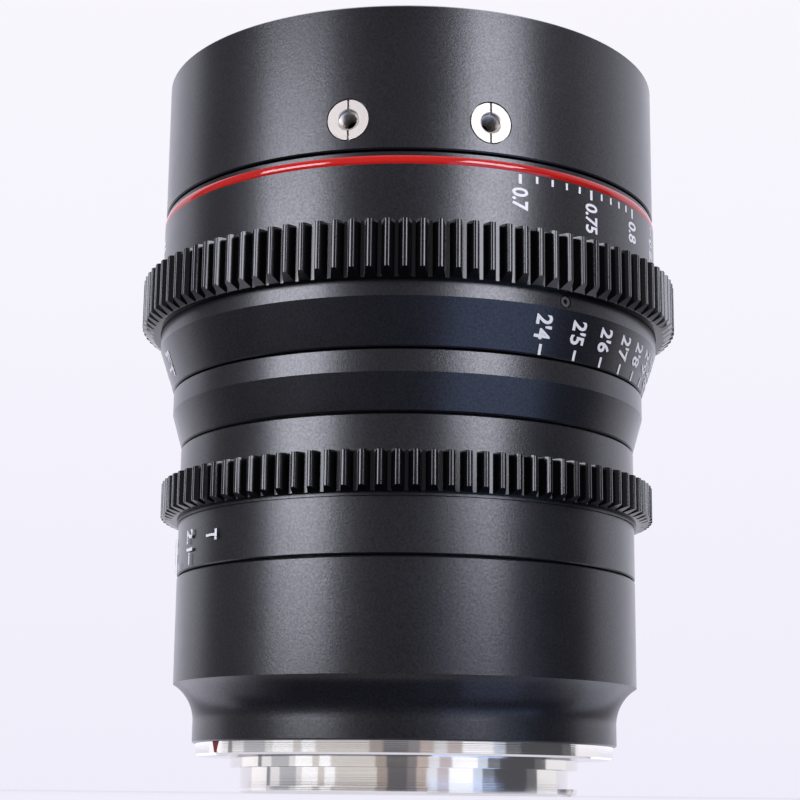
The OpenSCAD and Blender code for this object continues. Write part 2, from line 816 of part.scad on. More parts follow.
module focus_drive_pin() color("lightgray") {
    tip_r = carrier_r + focus_pin_head;
    radial(focus_pin_angle, focus_pin_z) translate([0, 0, tip_r])
        cylinder(r = drive_pin_r, h = focus_r - focus_pin_head - tip_r);
}

module helicoid_ring() color("goldenrod") {
    z = chamber_z + spacer_slack;
    difference() {
        ring(chamber_r - running_fit, carrier_r + carrier_fit, z, chamber_z + helicoid_len);
        radial(focus_pin_angle, focus_pin_z) translate([0, 0, carrier_r + focus_pin_head - seat_fit])
            cylinder(r = drive_pin_r + seat_fit, h = chamber_r);
    }
}

module helicoid_retainer() color("gray") {
    top = retainer_z + retainer_len;
    difference() {
        ring(chamber_r - seat_fit, carrier_r + 3 * running_fit, retainer_z, top);
        around(retainer_notch_count, 0) translate([0, -retainer_notch / 2, top - retainer_notch])
            cube([chamber_r - retainer_notch, retainer_notch, retainer_notch + cut]);
    }
}

module front_ring() color("dimgray") {
    bore_r = tube_r + seat_fit;
    difference() {
        revolved([
            [bore_r, front_z], [front_r - edge_bevel, front_z], [front_r, front_z + edge_bevel],
            [front_r, front_top - edge_bevel], [front_r - edge_bevel, front_top],
            [filter_r + filter_lead, front_top], [filter_r, front_top - filter_lead],
            [filter_r, filter_z], [baffle_seat_r, filter_z], [baffle_seat_r, baffle_z], [bore_r, baffle_z]]);
        for (angle = insert_angles) {
            radial(angle, insert_z) {
                translate([0, 0, insert_face_r - insert_len])
                    cylinder(r = insert_d / 2 + seat_fit, h = insert_len + cut);
                translate([0, 0, insert_face_r - insert_rim_depth])
                    cylinder(r = insert_d / 2 + insert_rim_w, h = insert_rim_depth + cut);
            }
        }
    }
}

module front_baffle() color("black") {
    outer_r = baffle_seat_r - seat_fit;
    mouth_r = outer_r - baffle_wall;
    inner_r = carrier_r + ring_gap;
    rise = (baffle_len - baffle_floor) / baffle_steps;
    tread = (mouth_r - inner_r) / baffle_steps;
    stairs = [
        for (k = [0 : baffle_steps - 1])
            for (corner = [[0, 0], [0, 1]])
                [inner_r + (k + corner[0]) * tread, baffle_z + baffle_floor + (k + corner[1]) * rise]];
    revolved(concat(
        [[mouth_r, baffle_z + baffle_len], [outer_r, baffle_z + baffle_len], [outer_r, baffle_z],
         [inner_r, baffle_z]],
        stairs));
}

module accessory_inserts() color("lightgray") {
    for (angle = insert_angles) {
        radial(angle, insert_z) translate([0, 0, insert_face_r - insert_len + seat_fit]) difference() {
            length = insert_len - seat_fit;
            cylinder(d = insert_d, h = length);
            translate([0, 0, -cut]) cylinder(d = insert_bore_d, h = length + 2 * cut);
            translate([0, 0, length - (insert_sink_d - insert_bore_d) / 2])
                cylinder(d1 = insert_bore_d, d2 = insert_sink_d, h = (insert_sink_d - insert_bore_d) / 2);
            translate([-insert_d / 2 - cut, -insert_slot_w / 2, length - insert_slot_depth])
                cube([insert_d + 2 * cut, insert_slot_w, insert_slot_depth + cut]);
        }
    }
}

module lens_carrier() color("slategray") {
    iris_slack = span_angle(drive_pin_r + stop_slack, iris_bore_r);
    groove_r = carrier_r - key_tip - pin_slack;
    groove_len = key_len + focus_travel + 2 * slide_slack;
    difference() {
        revolved([
            [iris_bore_r, carrier_z], [carrier_r, carrier_z], [carrier_r, carrier_front_z],
            [front_glass_d / 2 + glass_fit, carrier_front_z], [front_glass_d / 2 + glass_fit, front_seat_z],
            [second_glass_d / 2 + glass_fit, front_seat_z], [second_glass_d / 2 + glass_fit, second_seat_z],
            [third_glass_d / 2 + glass_fit, second_seat_z], [third_glass_d / 2 + glass_fit, third_seat_z],
            [fourth_glass_d / 2 + glass_fit, third_seat_z], [fourth_glass_d / 2 + glass_fit, fourth_seat_z],
            [fourth_glass_d / 2 - glass_seat, fourth_seat_z],
            [fourth_glass_d / 2 - glass_seat, iris_ceiling_z], [iris_bore_r, iris_ceiling_z]]);
        pin_window(iris_bore_r - cut, carrier_r + cut,
            iris_pin_z - focus_travel - drive_pin_r - slide_slack, iris_pin_z + drive_pin_r + slide_slack,
            iris_pin_angle - iris_rest - iris_slack, iris_pin_angle + iris_throw - iris_rest + iris_slack);
        around(key_count, 0)
            translate([groove_r, -key_w / 2 - running_fit, key_z - focus_travel - slide_slack])
                cube([key_tip + pin_slack + cut, key_w + 2 * running_fit, groove_len]);
        around(cell_screw_count, cell_screw_angle) translate([cell_screw_circle_r, 0, carrier_z - cut])
            cylinder(r = cell_screw_d / 2 + seat_fit,
                h = cell_screw_len - cell_flange_t + front_slack + cut);
    }
}

module name_ring() color("black") {
    skirt_r = front_glass_d / 2 + glass_fit - seat_fit;
    skirt_z = front_seat_z + front_glass_shares[0] * front_glass_d + spacer_slack;
    bore_r = front_glass_d / 2 - glass_seat;
    top = carrier_front_z + name_flange_h;
    revolved([
        [bore_r, skirt_z], [skirt_r, skirt_z], [skirt_r, carrier_front_z + seat_fit],
        [name_r, carrier_front_z + seat_fit], [name_r, top - edge_bevel], [name_r - edge_bevel, top],
        [bore_r + name_bevel, top], [bore_r, top - name_bevel]]);
}

module front_glass() color("lightblue") glass(front_glass_d, front_seat_z, front_glass_shares);

module second_glass() color("lightblue") glass(second_glass_d, second_seat_z, second_glass_shares);

module third_glass() color("lightblue") glass(third_glass_d, third_seat_z, third_glass_shares);

module fourth_glass() color("lightblue") glass(fourth_glass_d, fourth_seat_z, fourth_glass_shares);

module fifth_glass() color("lightblue") glass(fifth_glass_d, fifth_seat_z, fifth_glass_shares);

module sixth_glass() color("lightblue") {
    glass(rear_glass_d, sixth_seat_z - sixth_glass_shares[0] * rear_glass_d, sixth_glass_shares);
}

module rear_glass() color("lightblue") glass(rear_glass_d, last_glass_z, last_glass_shares);

// Spacer between the front land of one glass and the seat of the next
module spacer(d, z, shares, top) {
    ring(d / 2, d / 2 - spacer_wall, z + shares[0] * d + spacer_slack, top - spacer_slack);
}

module front_spacer() color("dimgray") {
    spacer(second_glass_d, second_seat_z, second_glass_shares, front_seat_z);
}

module middle_spacer() color("dimgray") {
    spacer(third_glass_d, third_seat_z, third_glass_shares, second_seat_z);
}

module inner_spacer() color("dimgray") {
    spacer(fourth_glass_d, fourth_seat_z, fourth_glass_shares, third_seat_z);
}

module rear_spacer() color("dimgray") {
    spacer(rear_glass_d, last_glass_z, last_glass_shares,
        sixth_seat_z - sixth_glass_shares[0] * rear_glass_d);
}

module rear_cell() color("dimgray") {
    front_bore_r = fifth_glass_d / 2 + glass_fit;
    rear_bore_r = rear_glass_d / 2 + glass_fit;
    spigot_r = iris_bore_r - seat_fit;
    difference() {
        revolved([
            [rear_bore_r, cell_rear_z], [cell_rear_r - edge_bevel, cell_rear_z],
            [cell_rear_r, cell_rear_z + edge_bevel], [cell_rear_r, cell_flange_z],
            [cell_flange_r, cell_flange_z], [cell_flange_r, carrier_z - seat_fit],
            [spigot_r, carrier_z - seat_fit], [spigot_r, carrier_z + cell_spigot_len],
            [cell_front_r, carrier_z + cell_spigot_len], [cell_front_r, cell_top], [front_bore_r, cell_top],
            [front_bore_r, fifth_seat_z], [cell_web_r, fifth_seat_z], [cell_web_r, sixth_seat_z],
            [rear_bore_r, sixth_seat_z]]);
        around(cell_screw_count, cell_screw_angle) translate([cell_screw_circle_r, 0, cell_flange_z - cut]) {
            cylinder(r = cell_screw_d / 2 + seat_fit, h = carrier_z - cell_flange_z + 2 * cut);
            cylinder(r = cell_screw_head_d / 2 + seat_fit, h = cell_screw_head_h + cut);
        }
    }
}

module cell_screws() color("gray") {
    around(cell_screw_count, cell_screw_angle) translate([cell_screw_circle_r, 0, cell_flange_z]) {
        cylinder(d = cell_screw_head_d, h = cell_screw_head_h - seat_fit);
        cylinder(d = cell_screw_d, h = cell_screw_len);
    }
}

// Threaded ring with two driver notches in its lower or upper face
module retaining_ring(d, z, top, notch_z) {
    difference() {
        ring(d / 2, d / 2 - spacer_wall, z, top);
        around(ring_notch_count, 0) translate([0, -ring_notch_w / 2, notch_z])
            cube([d, ring_notch_w, ring_notch_depth + cut]);
    }
}

module inner_retaining_ring() color("gray") {
    z = fifth_seat_z + fifth_glass_shares[0] * fifth_glass_d + spacer_slack;
    retaining_ring(fifth_glass_d, z, cell_top, cell_top - ring_notch_depth);
}

module rear_retaining_ring() color("black") {
    retaining_ring(rear_glass_d, cell_rear_z, last_glass_z - spacer_slack, cell_rear_z - cut);
}

module iris_base_plate() color("gray") {
    difference() {
        ring(iris_bore_r - seat_fit, iris_open_d / 2, base_plate_z, iris_ceiling_z - seat_fit);
        around(blade_count, 0) translate([pivot_r, 0, base_plate_z - cut])
            cylinder(r = blade_pin_r + running_fit, h = base_plate_t + 2 * cut);
    }
}

// Place of a follower pin around the axis for a turn of the iris ring from open,
// seen from the cam ring that turns with it
function follower_path(turn) =
    let (
        swing = arm_direction + turn * blade_ratio,
        x = pivot_r + follower_arm * cos(swing),
        y = follower_arm * sin(swing),
        back = iris_rest - turn)
    [x * cos(back) - y * sin(back), x * sin(back) + y * cos(back)];

// Direction of the path at a turn, as an angle
function path_direction(turn) =
    let (
        near = iris_throw / cam_slot_steps,
        step = follower_path(turn + near) - follower_path(turn - near))
    atan2(step[1], step[0]);

// Outline of one scroll slot: along one side, round the end, back and round the start
function cam_slot_points() =
    let (
        w = cam_slot_w / 2,
        first = -cam_slot_overrun,
        last = iris_throw + cam_slot_overrun,
        turns = [for (k = [0 : cam_slot_steps]) first + (last - first) * k / cam_slot_steps])
    concat(
        [for (t = turns) follower_path(t) + w * [cos(path_direction(t) - 90), sin(path_direction(t) - 90)]],
        [for (k = [1 : slot_end_steps - 1])
            follower_path(last) + w * [cos(path_direction(last) - 90 + 180 * k / slot_end_steps),
                sin(path_direction(last) - 90 + 180 * k / slot_end_steps)]],
        [for (k = [cam_slot_steps : -1 : 0])
            follower_path(turns[k])
                + w * [cos(path_direction(turns[k]) + 90), sin(path_direction(turns[k]) + 90)]],
        [for (k = [1 : slot_end_steps - 1])
            follower_path(first) + w * [cos(path_direction(first) + 90 + 180 * k / slot_end_steps),
                sin(path_direction(first) + 90 + 180 * k / slot_end_steps)]]);

module iris_cam_ring() color("goldenrod") {
    gap = drive_pin_r + running_fit;
    fork_h = cam_ring_z + cam_ring_t - cam_slot_depth - fork_foot_z - blade_slack;
    difference() {
        ring(iris_bore_r - running_fit, cam_ring_bore_r, cam_ring_z, cam_ring_top);
        around(blade_count, 0) translate([0, 0, cam_ring_top - cam_slot_depth])
            linear_extrude(cam_slot_depth + cut) polygon(cam_slot_points());
    }
    for (side = [gap, -gap - fork_prong_w]) {
        facing(iris_pin_angle) translate([fork_inner_r, side, fork_foot_z])
            cube([fork_outer_r - fork_inner_r, fork_prong_w, fork_h]);
    }
}

module iris_retaining_ring() color("gray") {
    ring(iris_bore_r - seat_fit, iris_bore_r - snap_ring_wall, snap_ring_z, snap_ring_z + snap_ring_t);
}

// Outline of a blade that stands fully open, with its pivot on +X
module blade_outline() {
    middle_r = blade_edge_r + blade_w / 2;
    intersection() {
        difference() {
            circle(r = blade_outer_r);
            circle(r = blade_edge_r);
        }
        union() {
            wedge(blade_outer_r + cut, -blade_heel_arc, blade_arc);
            rotate(blade_arc) translate([middle_r, 0]) circle(r = blade_tip_r);
        }
    }
    translate([pivot_r, 0]) {
        circle(r = blade_ear_r);
        rotate(arm_direction) {
            translate([0, -blade_arm_w / 2]) square([follower_arm, blade_arm_w]);
            translate([follower_arm, 0]) circle(r = blade_pad_r);
        }
    }
}

// One blade of the iris at its place at rest, on its own level of the stack
module aperture_blade(k) color("darkslategray") {
    z = stack_z + (k - 1) * blade_pitch;
    pivot_top = iris_ceiling_z - front_slack;
    follower_foot = cam_ring_top - cam_slot_depth + blade_slack;
    facing((k - 1) * 360 / blade_count) translate([pivot_r, 0, 0]) rotate(iris_rest * blade_ratio)
        translate([-pivot_r, 0, 0]) {
            translate([0, 0, z]) linear_extrude(blade_t) blade_outline();
            translate([pivot_r, 0, z]) cylinder(r = blade_pin_r, h = pivot_top - z);
            translate([pivot_r, 0, 0]) rotate(arm_direction) translate([follower_arm, 0, follower_foot])
                cylinder(r = blade_pin_r, h = z + blade_t - follower_foot);
        }
}

bayonet_mount();
mount_screws();
mount_index();
rear_baffle();
rear_barrel();
barrel_screws();
main_tube();
guide_keys();
iris_thrust_washers();
iris_ring();
iris_gear();
iris_drive_pin();
middle_barrel();
focus_thrust_washers();
focus_ring();
focus_gear();
accent_ring();
focus_set_screws();
focus_drive_pin();
helicoid_ring();
helicoid_retainer();
front_ring();
front_baffle();
accessory_inserts();
lens_carrier();
name_ring();
front_glass();
front_spacer();
second_glass();
middle_spacer();
third_glass();
inner_spacer();
fourth_glass();
iris_base_plate();
iris_cam_ring();
iris_retaining_ring();
rear_cell();
cell_screws();
inner_retaining_ring();
fifth_glass();
sixth_glass();
rear_spacer();
rear_glass();
rear_retaining_ring();
for (k = [1 : blade_count]) {
    aperture_blade(k);
}
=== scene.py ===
"""Dresses a cine prime lens: finishes, cut gears and threads, printed scales, studio and camera.

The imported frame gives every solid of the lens. This script keeps most of them and gives each its
finish, replaces the two follow gears by gears with involute teeth, and adds the filter thread, the
threads of the accessory inserts and the printed scales.
Lengths are in metres. The front of the lens points along +Z, and side angles are counted in degrees
from the side that faces -Y, turning towards +X, as in the part's source.
"""

import logging
import math
from dataclasses import dataclass, field
from enum import Enum

import bmesh
import bpy
from mathutils import Matrix, Vector

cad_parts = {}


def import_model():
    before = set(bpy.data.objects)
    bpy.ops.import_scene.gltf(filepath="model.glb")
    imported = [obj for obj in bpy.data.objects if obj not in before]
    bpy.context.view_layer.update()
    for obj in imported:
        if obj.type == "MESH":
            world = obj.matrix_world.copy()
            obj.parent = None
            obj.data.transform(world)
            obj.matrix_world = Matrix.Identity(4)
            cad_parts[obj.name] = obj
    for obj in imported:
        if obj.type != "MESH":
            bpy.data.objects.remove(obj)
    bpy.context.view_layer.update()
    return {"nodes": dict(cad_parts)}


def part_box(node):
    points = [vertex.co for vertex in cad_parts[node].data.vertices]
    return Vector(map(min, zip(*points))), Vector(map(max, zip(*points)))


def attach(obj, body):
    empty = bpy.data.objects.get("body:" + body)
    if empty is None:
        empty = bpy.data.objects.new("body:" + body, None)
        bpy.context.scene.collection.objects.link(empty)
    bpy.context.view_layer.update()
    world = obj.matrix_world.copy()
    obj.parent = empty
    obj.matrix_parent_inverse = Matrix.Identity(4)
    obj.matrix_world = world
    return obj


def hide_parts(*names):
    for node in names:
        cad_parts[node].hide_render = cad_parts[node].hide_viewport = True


MM = 0.001
FOOT = 0.3048
MERGE_DISTANCE = 0.0004 * MM
Colour = tuple[float, float, float]
Mesh = bmesh.types.BMesh
Socket = bpy.types.NodeSocket
log = logging.getLogger("lens")


def side_direction(angle: float) -> Vector:
    """Gives the outward direction at a side angle.

    Args:
        angle: Side angle in degrees.

    Returns:
        Unit vector in the XY plane.
    """
    turn = math.radians(angle)
    return Vector((math.sin(turn), -math.cos(turn), 0.0))


def new_piece(name: str, bm: Mesh, sharp: float = 35.0) -> bpy.types.Object:
    """Turns a bmesh into an object at the world origin, smooth but for its sharp edges.

    Args:
        name: Name of the piece.
        bm: The mesh in world places; it is freed here.
        sharp: Edges that bend by more than this many degrees stay sharp.

    Returns:
        The new object, linked to the scene.
    """
    for face in bm.faces:
        face.smooth = True
    for edge in bm.edges:
        if len(edge.link_faces) == 2:
            edge.smooth = edge.calc_face_angle(0.0) < math.radians(sharp)
    mesh = bpy.data.meshes.new(name)
    bm.to_mesh(mesh)
    bm.free()
    piece = bpy.data.objects.new(name, mesh)
    bpy.context.scene.collection.objects.link(piece)
    return piece


def close_up(bm: Mesh) -> None:
    """Merges doubled vertices and turns all faces outward."""
    bmesh.ops.remove_doubles(bm, verts=bm.verts, dist=MERGE_DISTANCE)
    bmesh.ops.recalc_face_normals(bm, faces=bm.faces)


def pour(part: Mesh, whole: Mesh) -> None:
    """Adds one mesh to another and frees it.

    Args:
        part: The mesh to add.
        whole: The mesh that it is added to.
    """
    mesh = bpy.data.meshes.new("part")
    part.to_mesh(mesh)
    part.free()
    whole.from_mesh(mesh)
    bpy.data.meshes.remove(mesh)


def combine(tree: bpy.types.NodeTree, operation: str, first: Socket, second: Socket) -> Socket:
    """Adds a math node with two inputs.

    Args:
        tree: The node tree.
        operation: Name of the operation.
        first: Socket of the first number.
        second: Socket of the second number.

    Returns:
        Socket with the result.
    """
    node = tree.nodes.new("ShaderNodeMath")
    node.operation = operation
    tree.links.new(first, node.inputs[0])
    tree.links.new(second, node.inputs[1])
    return node.outputs["Value"]


def mix_colours(tree: bpy.types.NodeTree, factor: Socket, first: Colour, second: Colour) -> Socket:
    """Adds a mix node, whose inputs 6 and 7 and output 2 are the ones for colours.

    Args:
        tree: The node tree.
        factor: Socket with the share of the second colour.
        first: Colour at factor 0.
        second: Colour at factor 1.

    Returns:
        Socket with the mixed colour.
    """
    node = tree.nodes.new("ShaderNodeMix")
    node.data_type = "RGBA"
    node.inputs[6].default_value = (*first, 1.0)
    node.inputs[7].default_value = (*second, 1.0)
    tree.links.new(factor, node.inputs["Factor"])
    return node.outputs[2]


class Grain(Enum):
    """How the tiny relief of a surface runs."""

    BLASTED = "blasted"
    TURNED = "turned"


class Shader:
    """A material's node tree, with a short call for each kind of node that the finishes need."""

    def __init__(self, name: str) -> None:
        """Starts a material that has only its principled shader and its output."""
        self.material = bpy.data.materials.new(name)
        self.material.use_nodes = True
        self.nodes = self.material.node_tree.nodes
        self.links = self.material.node_tree.links
        self.surface = self.nodes["Principled BSDF"]
        coordinates = self.nodes.new("ShaderNodeTexCoord")
        self.place = coordinates.outputs["Object"]

    def set(self, **values: object) -> None:
        """Sets sockets of the principled shader; underscores in a name stand for spaces."""
        for name, value in values.items():
            self.surface.inputs[name.replace("_", " ")].default_value = value

    def noise(self, scale: float, detail: float = 2.0) -> Socket:
        """Adds a noise texture.

        Args:
            scale: Features per metre.
            detail: Octaves of the noise.

        Returns:
            The noise's factor socket.
        """
        node = self.nodes.new("ShaderNodeTexNoise")
        node.inputs["Scale"].default_value = scale
        node.inputs["Detail"].default_value = detail
        self.links.new(self.place, node.inputs["Vector"])
        return node.outputs["Fac"]

    def turning(self, scale: float) -> Socket:
        """Adds lines that run round the optical axis, as a lathe tool leaves them.

        Args:
            scale: Lines per metre along the surface.

        Returns:
            The factor socket of the lines.
        """
        flat = self.nodes.new("ShaderNodeVectorMath")
        flat.operation = "MULTIPLY"
        flat.inputs[1].default_value = (1.0, 1.0, 0.0)
        self.links.new(self.place, flat.inputs[0])
        radius = self.distance(flat.outputs["Vector"])
        split = self.nodes.new("ShaderNodeSeparateXYZ")
        self.links.new(self.place, split.inputs[0])
        along = combine(self.material.node_tree, "ADD", radius, split.outputs["Z"])
        node = self.nodes.new("ShaderNodeTexNoise")
        node.noise_dimensions = "1D"
        node.inputs["Scale"].default_value = scale
        node.inputs["Detail"].default_value = 3.0
        self.links.new(along, node.inputs["W"])
        return node.outputs["Fac"]

    def distance(self, place: Socket) -> Socket:
        """Adds a node that gives the distance from the origin.

        Args:
            place: Socket with the place.

        Returns:
            Socket with the distance.
        """
        node = self.nodes.new("ShaderNodeVectorMath")
        node.operation = "LENGTH"
        self.links.new(place, node.inputs[0])
        return node.outputs["Value"]

    def between(self, factor: Socket, low: float, high: float) -> Socket:
        """Maps a factor from 0..1 to low..high.

        Args:
            factor: Socket with the factor.
            low: Value at factor 0.
            high: Value at factor 1.

        Returns:
            Socket with the mapped value.
        """
        node = self.nodes.new("ShaderNodeMapRange")
        node.inputs["To Min"].default_value = low
        node.inputs["To Max"].default_value = high
        self.links.new(factor, node.inputs["Value"])
        return node.outputs["Result"]

    def tint(self, factor: Socket, first: Colour, second: Colour) -> None:
        """Varies the base colour between the colours of factor 0 and factor 1."""
        mixed = mix_colours(self.material.node_tree, factor, first, second)
        self.links.new(mixed, self.surface.inputs["Base Color"])

    def relief(self, height: Socket, strength: float, depth: float) -> None:
        """Adds a bump to the surface.

        Args:
            height: Socket with the height factor.
            strength: Strength of the bump.
            depth: Depth of the relief in metres.
        """
        node = self.nodes.new("ShaderNodeBump")
        node.inputs["Strength"].default_value = strength
        node.inputs["Distance"].default_value = depth
        self.links.new(height, node.inputs["Height"])
        self.links.new(node.outputs["Normal"], self.surface.inputs["Normal"])


@dataclass(frozen=True)
class Finish:
    """A metal or painted finish with tiny relief and slight wear.

    Attributes:
        colour, worn: Base colour, and where the surface is most handled.
        metallic, specular: As in the principled shader.
        smooth, rough: Roughness of the smoothest and of the roughest places.
        grain, grain_scale: How the relief runs, and its features per metre.
        grain_depth, grain_strength: Depth of the relief in metres, and its strength.
        glints: How much more metallic the brightest grains are than the darkest.
    """

    name: str
    colour: Colour
    worn: Colour
    metallic: float = 0.0
    smooth: float = 0.3
    rough: float = 0.4
    grain: Grain = Grain.BLASTED
    grain_scale: float = 9000.0
    grain_depth: float = 0.006 * MM
    grain_strength: float = 0.5
    glints: float = 0.0
    specular: float = 0.5

    def material(self) -> bpy.types.Material:
        """Builds the material.

        Returns:
            The material with its node tree.
        """
        shader = Shader(self.name)
        shader.set(Metallic=self.metallic, Specular_IOR_Level=self.specular)
        handling = shader.noise(scale=70.0, detail=4.0)
        shader.tint(handling, self.colour, self.worn)
        if self.grain is Grain.BLASTED:
            grain = shader.noise(self.grain_scale)
        else:
            grain = shader.turning(self.grain_scale)
        rough = shader.between(shader.noise(scale=190.0, detail=3.0), self.smooth, self.rough)
        shader.links.new(rough, shader.surface.inputs["Roughness"])
        if self.glints:
            glints = shader.between(grain, self.metallic, self.metallic + self.glints)
            shader.links.new(glints, shader.surface.inputs["Metallic"])
        shader.relief(grain, self.grain_strength, self.grain_depth)
        return shader.material


@dataclass(frozen=True)
class CoatedGlass:
    """Optical glass with a thin coating that dims and tints its reflections.

    Attributes:
        film_nm, film_ior: Thickness of the coating in nanometres, and its refractive index.
    """

    name: str = "coated_glass"
    film_nm: float = 120.0
    film_ior: float = 1.25

    def material(self) -> bpy.types.Material:
        """Builds the material.

        Returns:
            The glass material.
        """
        shader = Shader(self.name)
        shader.set(Base_Color=(0.97, 0.98, 0.97, 1.0), IOR=1.52, Transmission_Weight=1.0,
                   Thin_Film_Thickness=self.film_nm, Thin_Film_IOR=self.film_ior)
        dust = shader.between(shader.noise(scale=900.0, detail=4.0), 0.0, 0.02)
        shader.links.new(dust, shader.surface.inputs["Roughness"])
        return shader.material


class Finishes:
    """All materials of the lens, each built once."""

    def __init__(self) -> None:
        """Builds every material."""
        self.barrel = Finish(
            "satin_black_anodising", (0.0038, 0.0037, 0.0056), (0.0056, 0.0055, 0.0078),
            smooth=0.27, rough=0.33, grain_scale=3100.0, grain_depth=0.012 * MM,
            grain_strength=1.0, glints=0.7, specular=0.77).material()
        self.gear = Finish(
            "gloss_black_anodising", (0.002, 0.002, 0.0026), (0.0034, 0.0034, 0.0042),
            smooth=0.14, rough=0.22, grain=Grain.TURNED, grain_scale=1500.0,
            grain_strength=0.04, specular=0.4).material()
        self.accent = Finish(
            "gloss_red_anodising", (0.38, 0.006, 0.003), (0.44, 0.009, 0.005),
            smooth=0.08, rough=0.12, grain=Grain.TURNED, grain_scale=1500.0,
            grain_strength=0.04).material()
        self.index_red = Finish(
            "red_enamel", (0.13, 0.003, 0.006), (0.17, 0.005, 0.009),
            smooth=0.3, rough=0.45, grain_strength=0.15, specular=0.1).material()
        self.mount = Finish(
            "polished_plating", (0.86, 0.85, 0.83), (0.8, 0.785, 0.76), metallic=1.0,
            smooth=0.06, rough=0.09, grain=Grain.TURNED, grain_scale=7500.0,
            grain_depth=0.004 * MM, grain_strength=0.3).material()
        self.insert = Finish(
            "bright_nickel", (0.57, 0.525, 0.47), (0.48, 0.445, 0.4), metallic=1.0,
            smooth=0.52, rough=0.62, grain_scale=4000.0, grain_strength=0.5).material()
        self.baffle = Finish(
            "matte_black_lacquer", (0.004, 0.004, 0.0042), (0.007, 0.007, 0.0075),
            smooth=0.6, rough=0.8, grain=Grain.TURNED, grain_scale=2600.0,
            grain_depth=0.02 * MM, grain_strength=0.5, specular=0.3).material()
        self.tube = Finish(
            "grey_anodising", (0.06, 0.062, 0.066), (0.085, 0.087, 0.09), metallic=0.6,
            smooth=0.32, rough=0.45, grain=Grain.TURNED, grain_scale=4200.0).material()
        self.brass = Finish(
            "turned_brass", (0.74, 0.52, 0.22), (0.62, 0.42, 0.17), metallic=1.0,
            smooth=0.18, rough=0.34, grain=Grain.TURNED, grain_scale=5000.0).material()
        self.washer = Finish(
            "black_acetal", (0.012, 0.012, 0.012), (0.018, 0.018, 0.018),
            smooth=0.4, rough=0.55).material()
        self.steel = Finish(
            "screw_steel", (0.5, 0.5, 0.49), (0.4, 0.4, 0.39), metallic=1.0,
            smooth=0.2, rough=0.36).material()
        self.dark_screw = Finish(
            "black_oxide", (0.06, 0.058, 0.06), (0.12, 0.116, 0.118), metallic=0.6,
            smooth=0.25, rough=0.4, grain_scale=3500.0, grain_depth=0.02 * MM,
            grain_strength=1.0).material()
        self.blade = Finish(
            "blade_lacquer", (0.012, 0.012, 0.013), (0.02, 0.02, 0.021), metallic=0.3,
            smooth=0.4, rough=0.55).material()
        self.ink = Finish(
            "white_ink", (0.72, 0.72, 0.74), (0.64, 0.64, 0.66),
            smooth=0.45, rough=0.6, grain_strength=0.3).material()
        self.glass = CoatedGlass().material()

    def dress(self, nodes: dict[str, bpy.types.Object]) -> None:
        """Gives every solid of the frame its finish.

        Args:
            nodes: The frame's solids by name.
        """
        chosen = {
            "rear_barrel": self.barrel, "middle_barrel": self.barrel, "front_ring": self.barrel,
            "focus_ring": self.barrel, "iris_ring": self.barrel, "focus_gear": self.gear,
            "iris_gear": self.gear, "accent_ring": self.accent, "mount_index": self.index_red,
            "bayonet_mount": self.mount, "accessory_inserts": self.insert,
            "focus_set_screws": self.dark_screw, "name_ring": self.baffle,
            "guide_keys": self.brass, "helicoid_ring": self.brass, "iris_cam_ring": self.brass,
        }
        for name, node in nodes.items():
            if name in chosen:
                finish = chosen[name]
            elif name.endswith("glass"):
                finish = self.glass
            elif name.startswith("aperture_blade"):
                finish = self.blade
            elif name.endswith("washers"):
                finish = self.washer
            elif name.endswith(("screws", "pin")):
                finish = self.steel
            elif name.endswith(("baffle", "spacer", "cell")) or name == "rear_retaining_ring":
                finish = self.baffle
            else:
                finish = self.tube
            node.data.materials.clear()
            node.data.materials.append(finish)
            log.info("finished %s with %s", name, finish.name)


def grow(bm: Mesh, edges: list) -> list:
    """Extrudes edges and gives the new vertices."""
    grown = bmesh.ops.extrude_edge_only(bm, edges=edges)["geom"]
    return [item for item in grown if isinstance(item, bmesh.types.BMVert)]


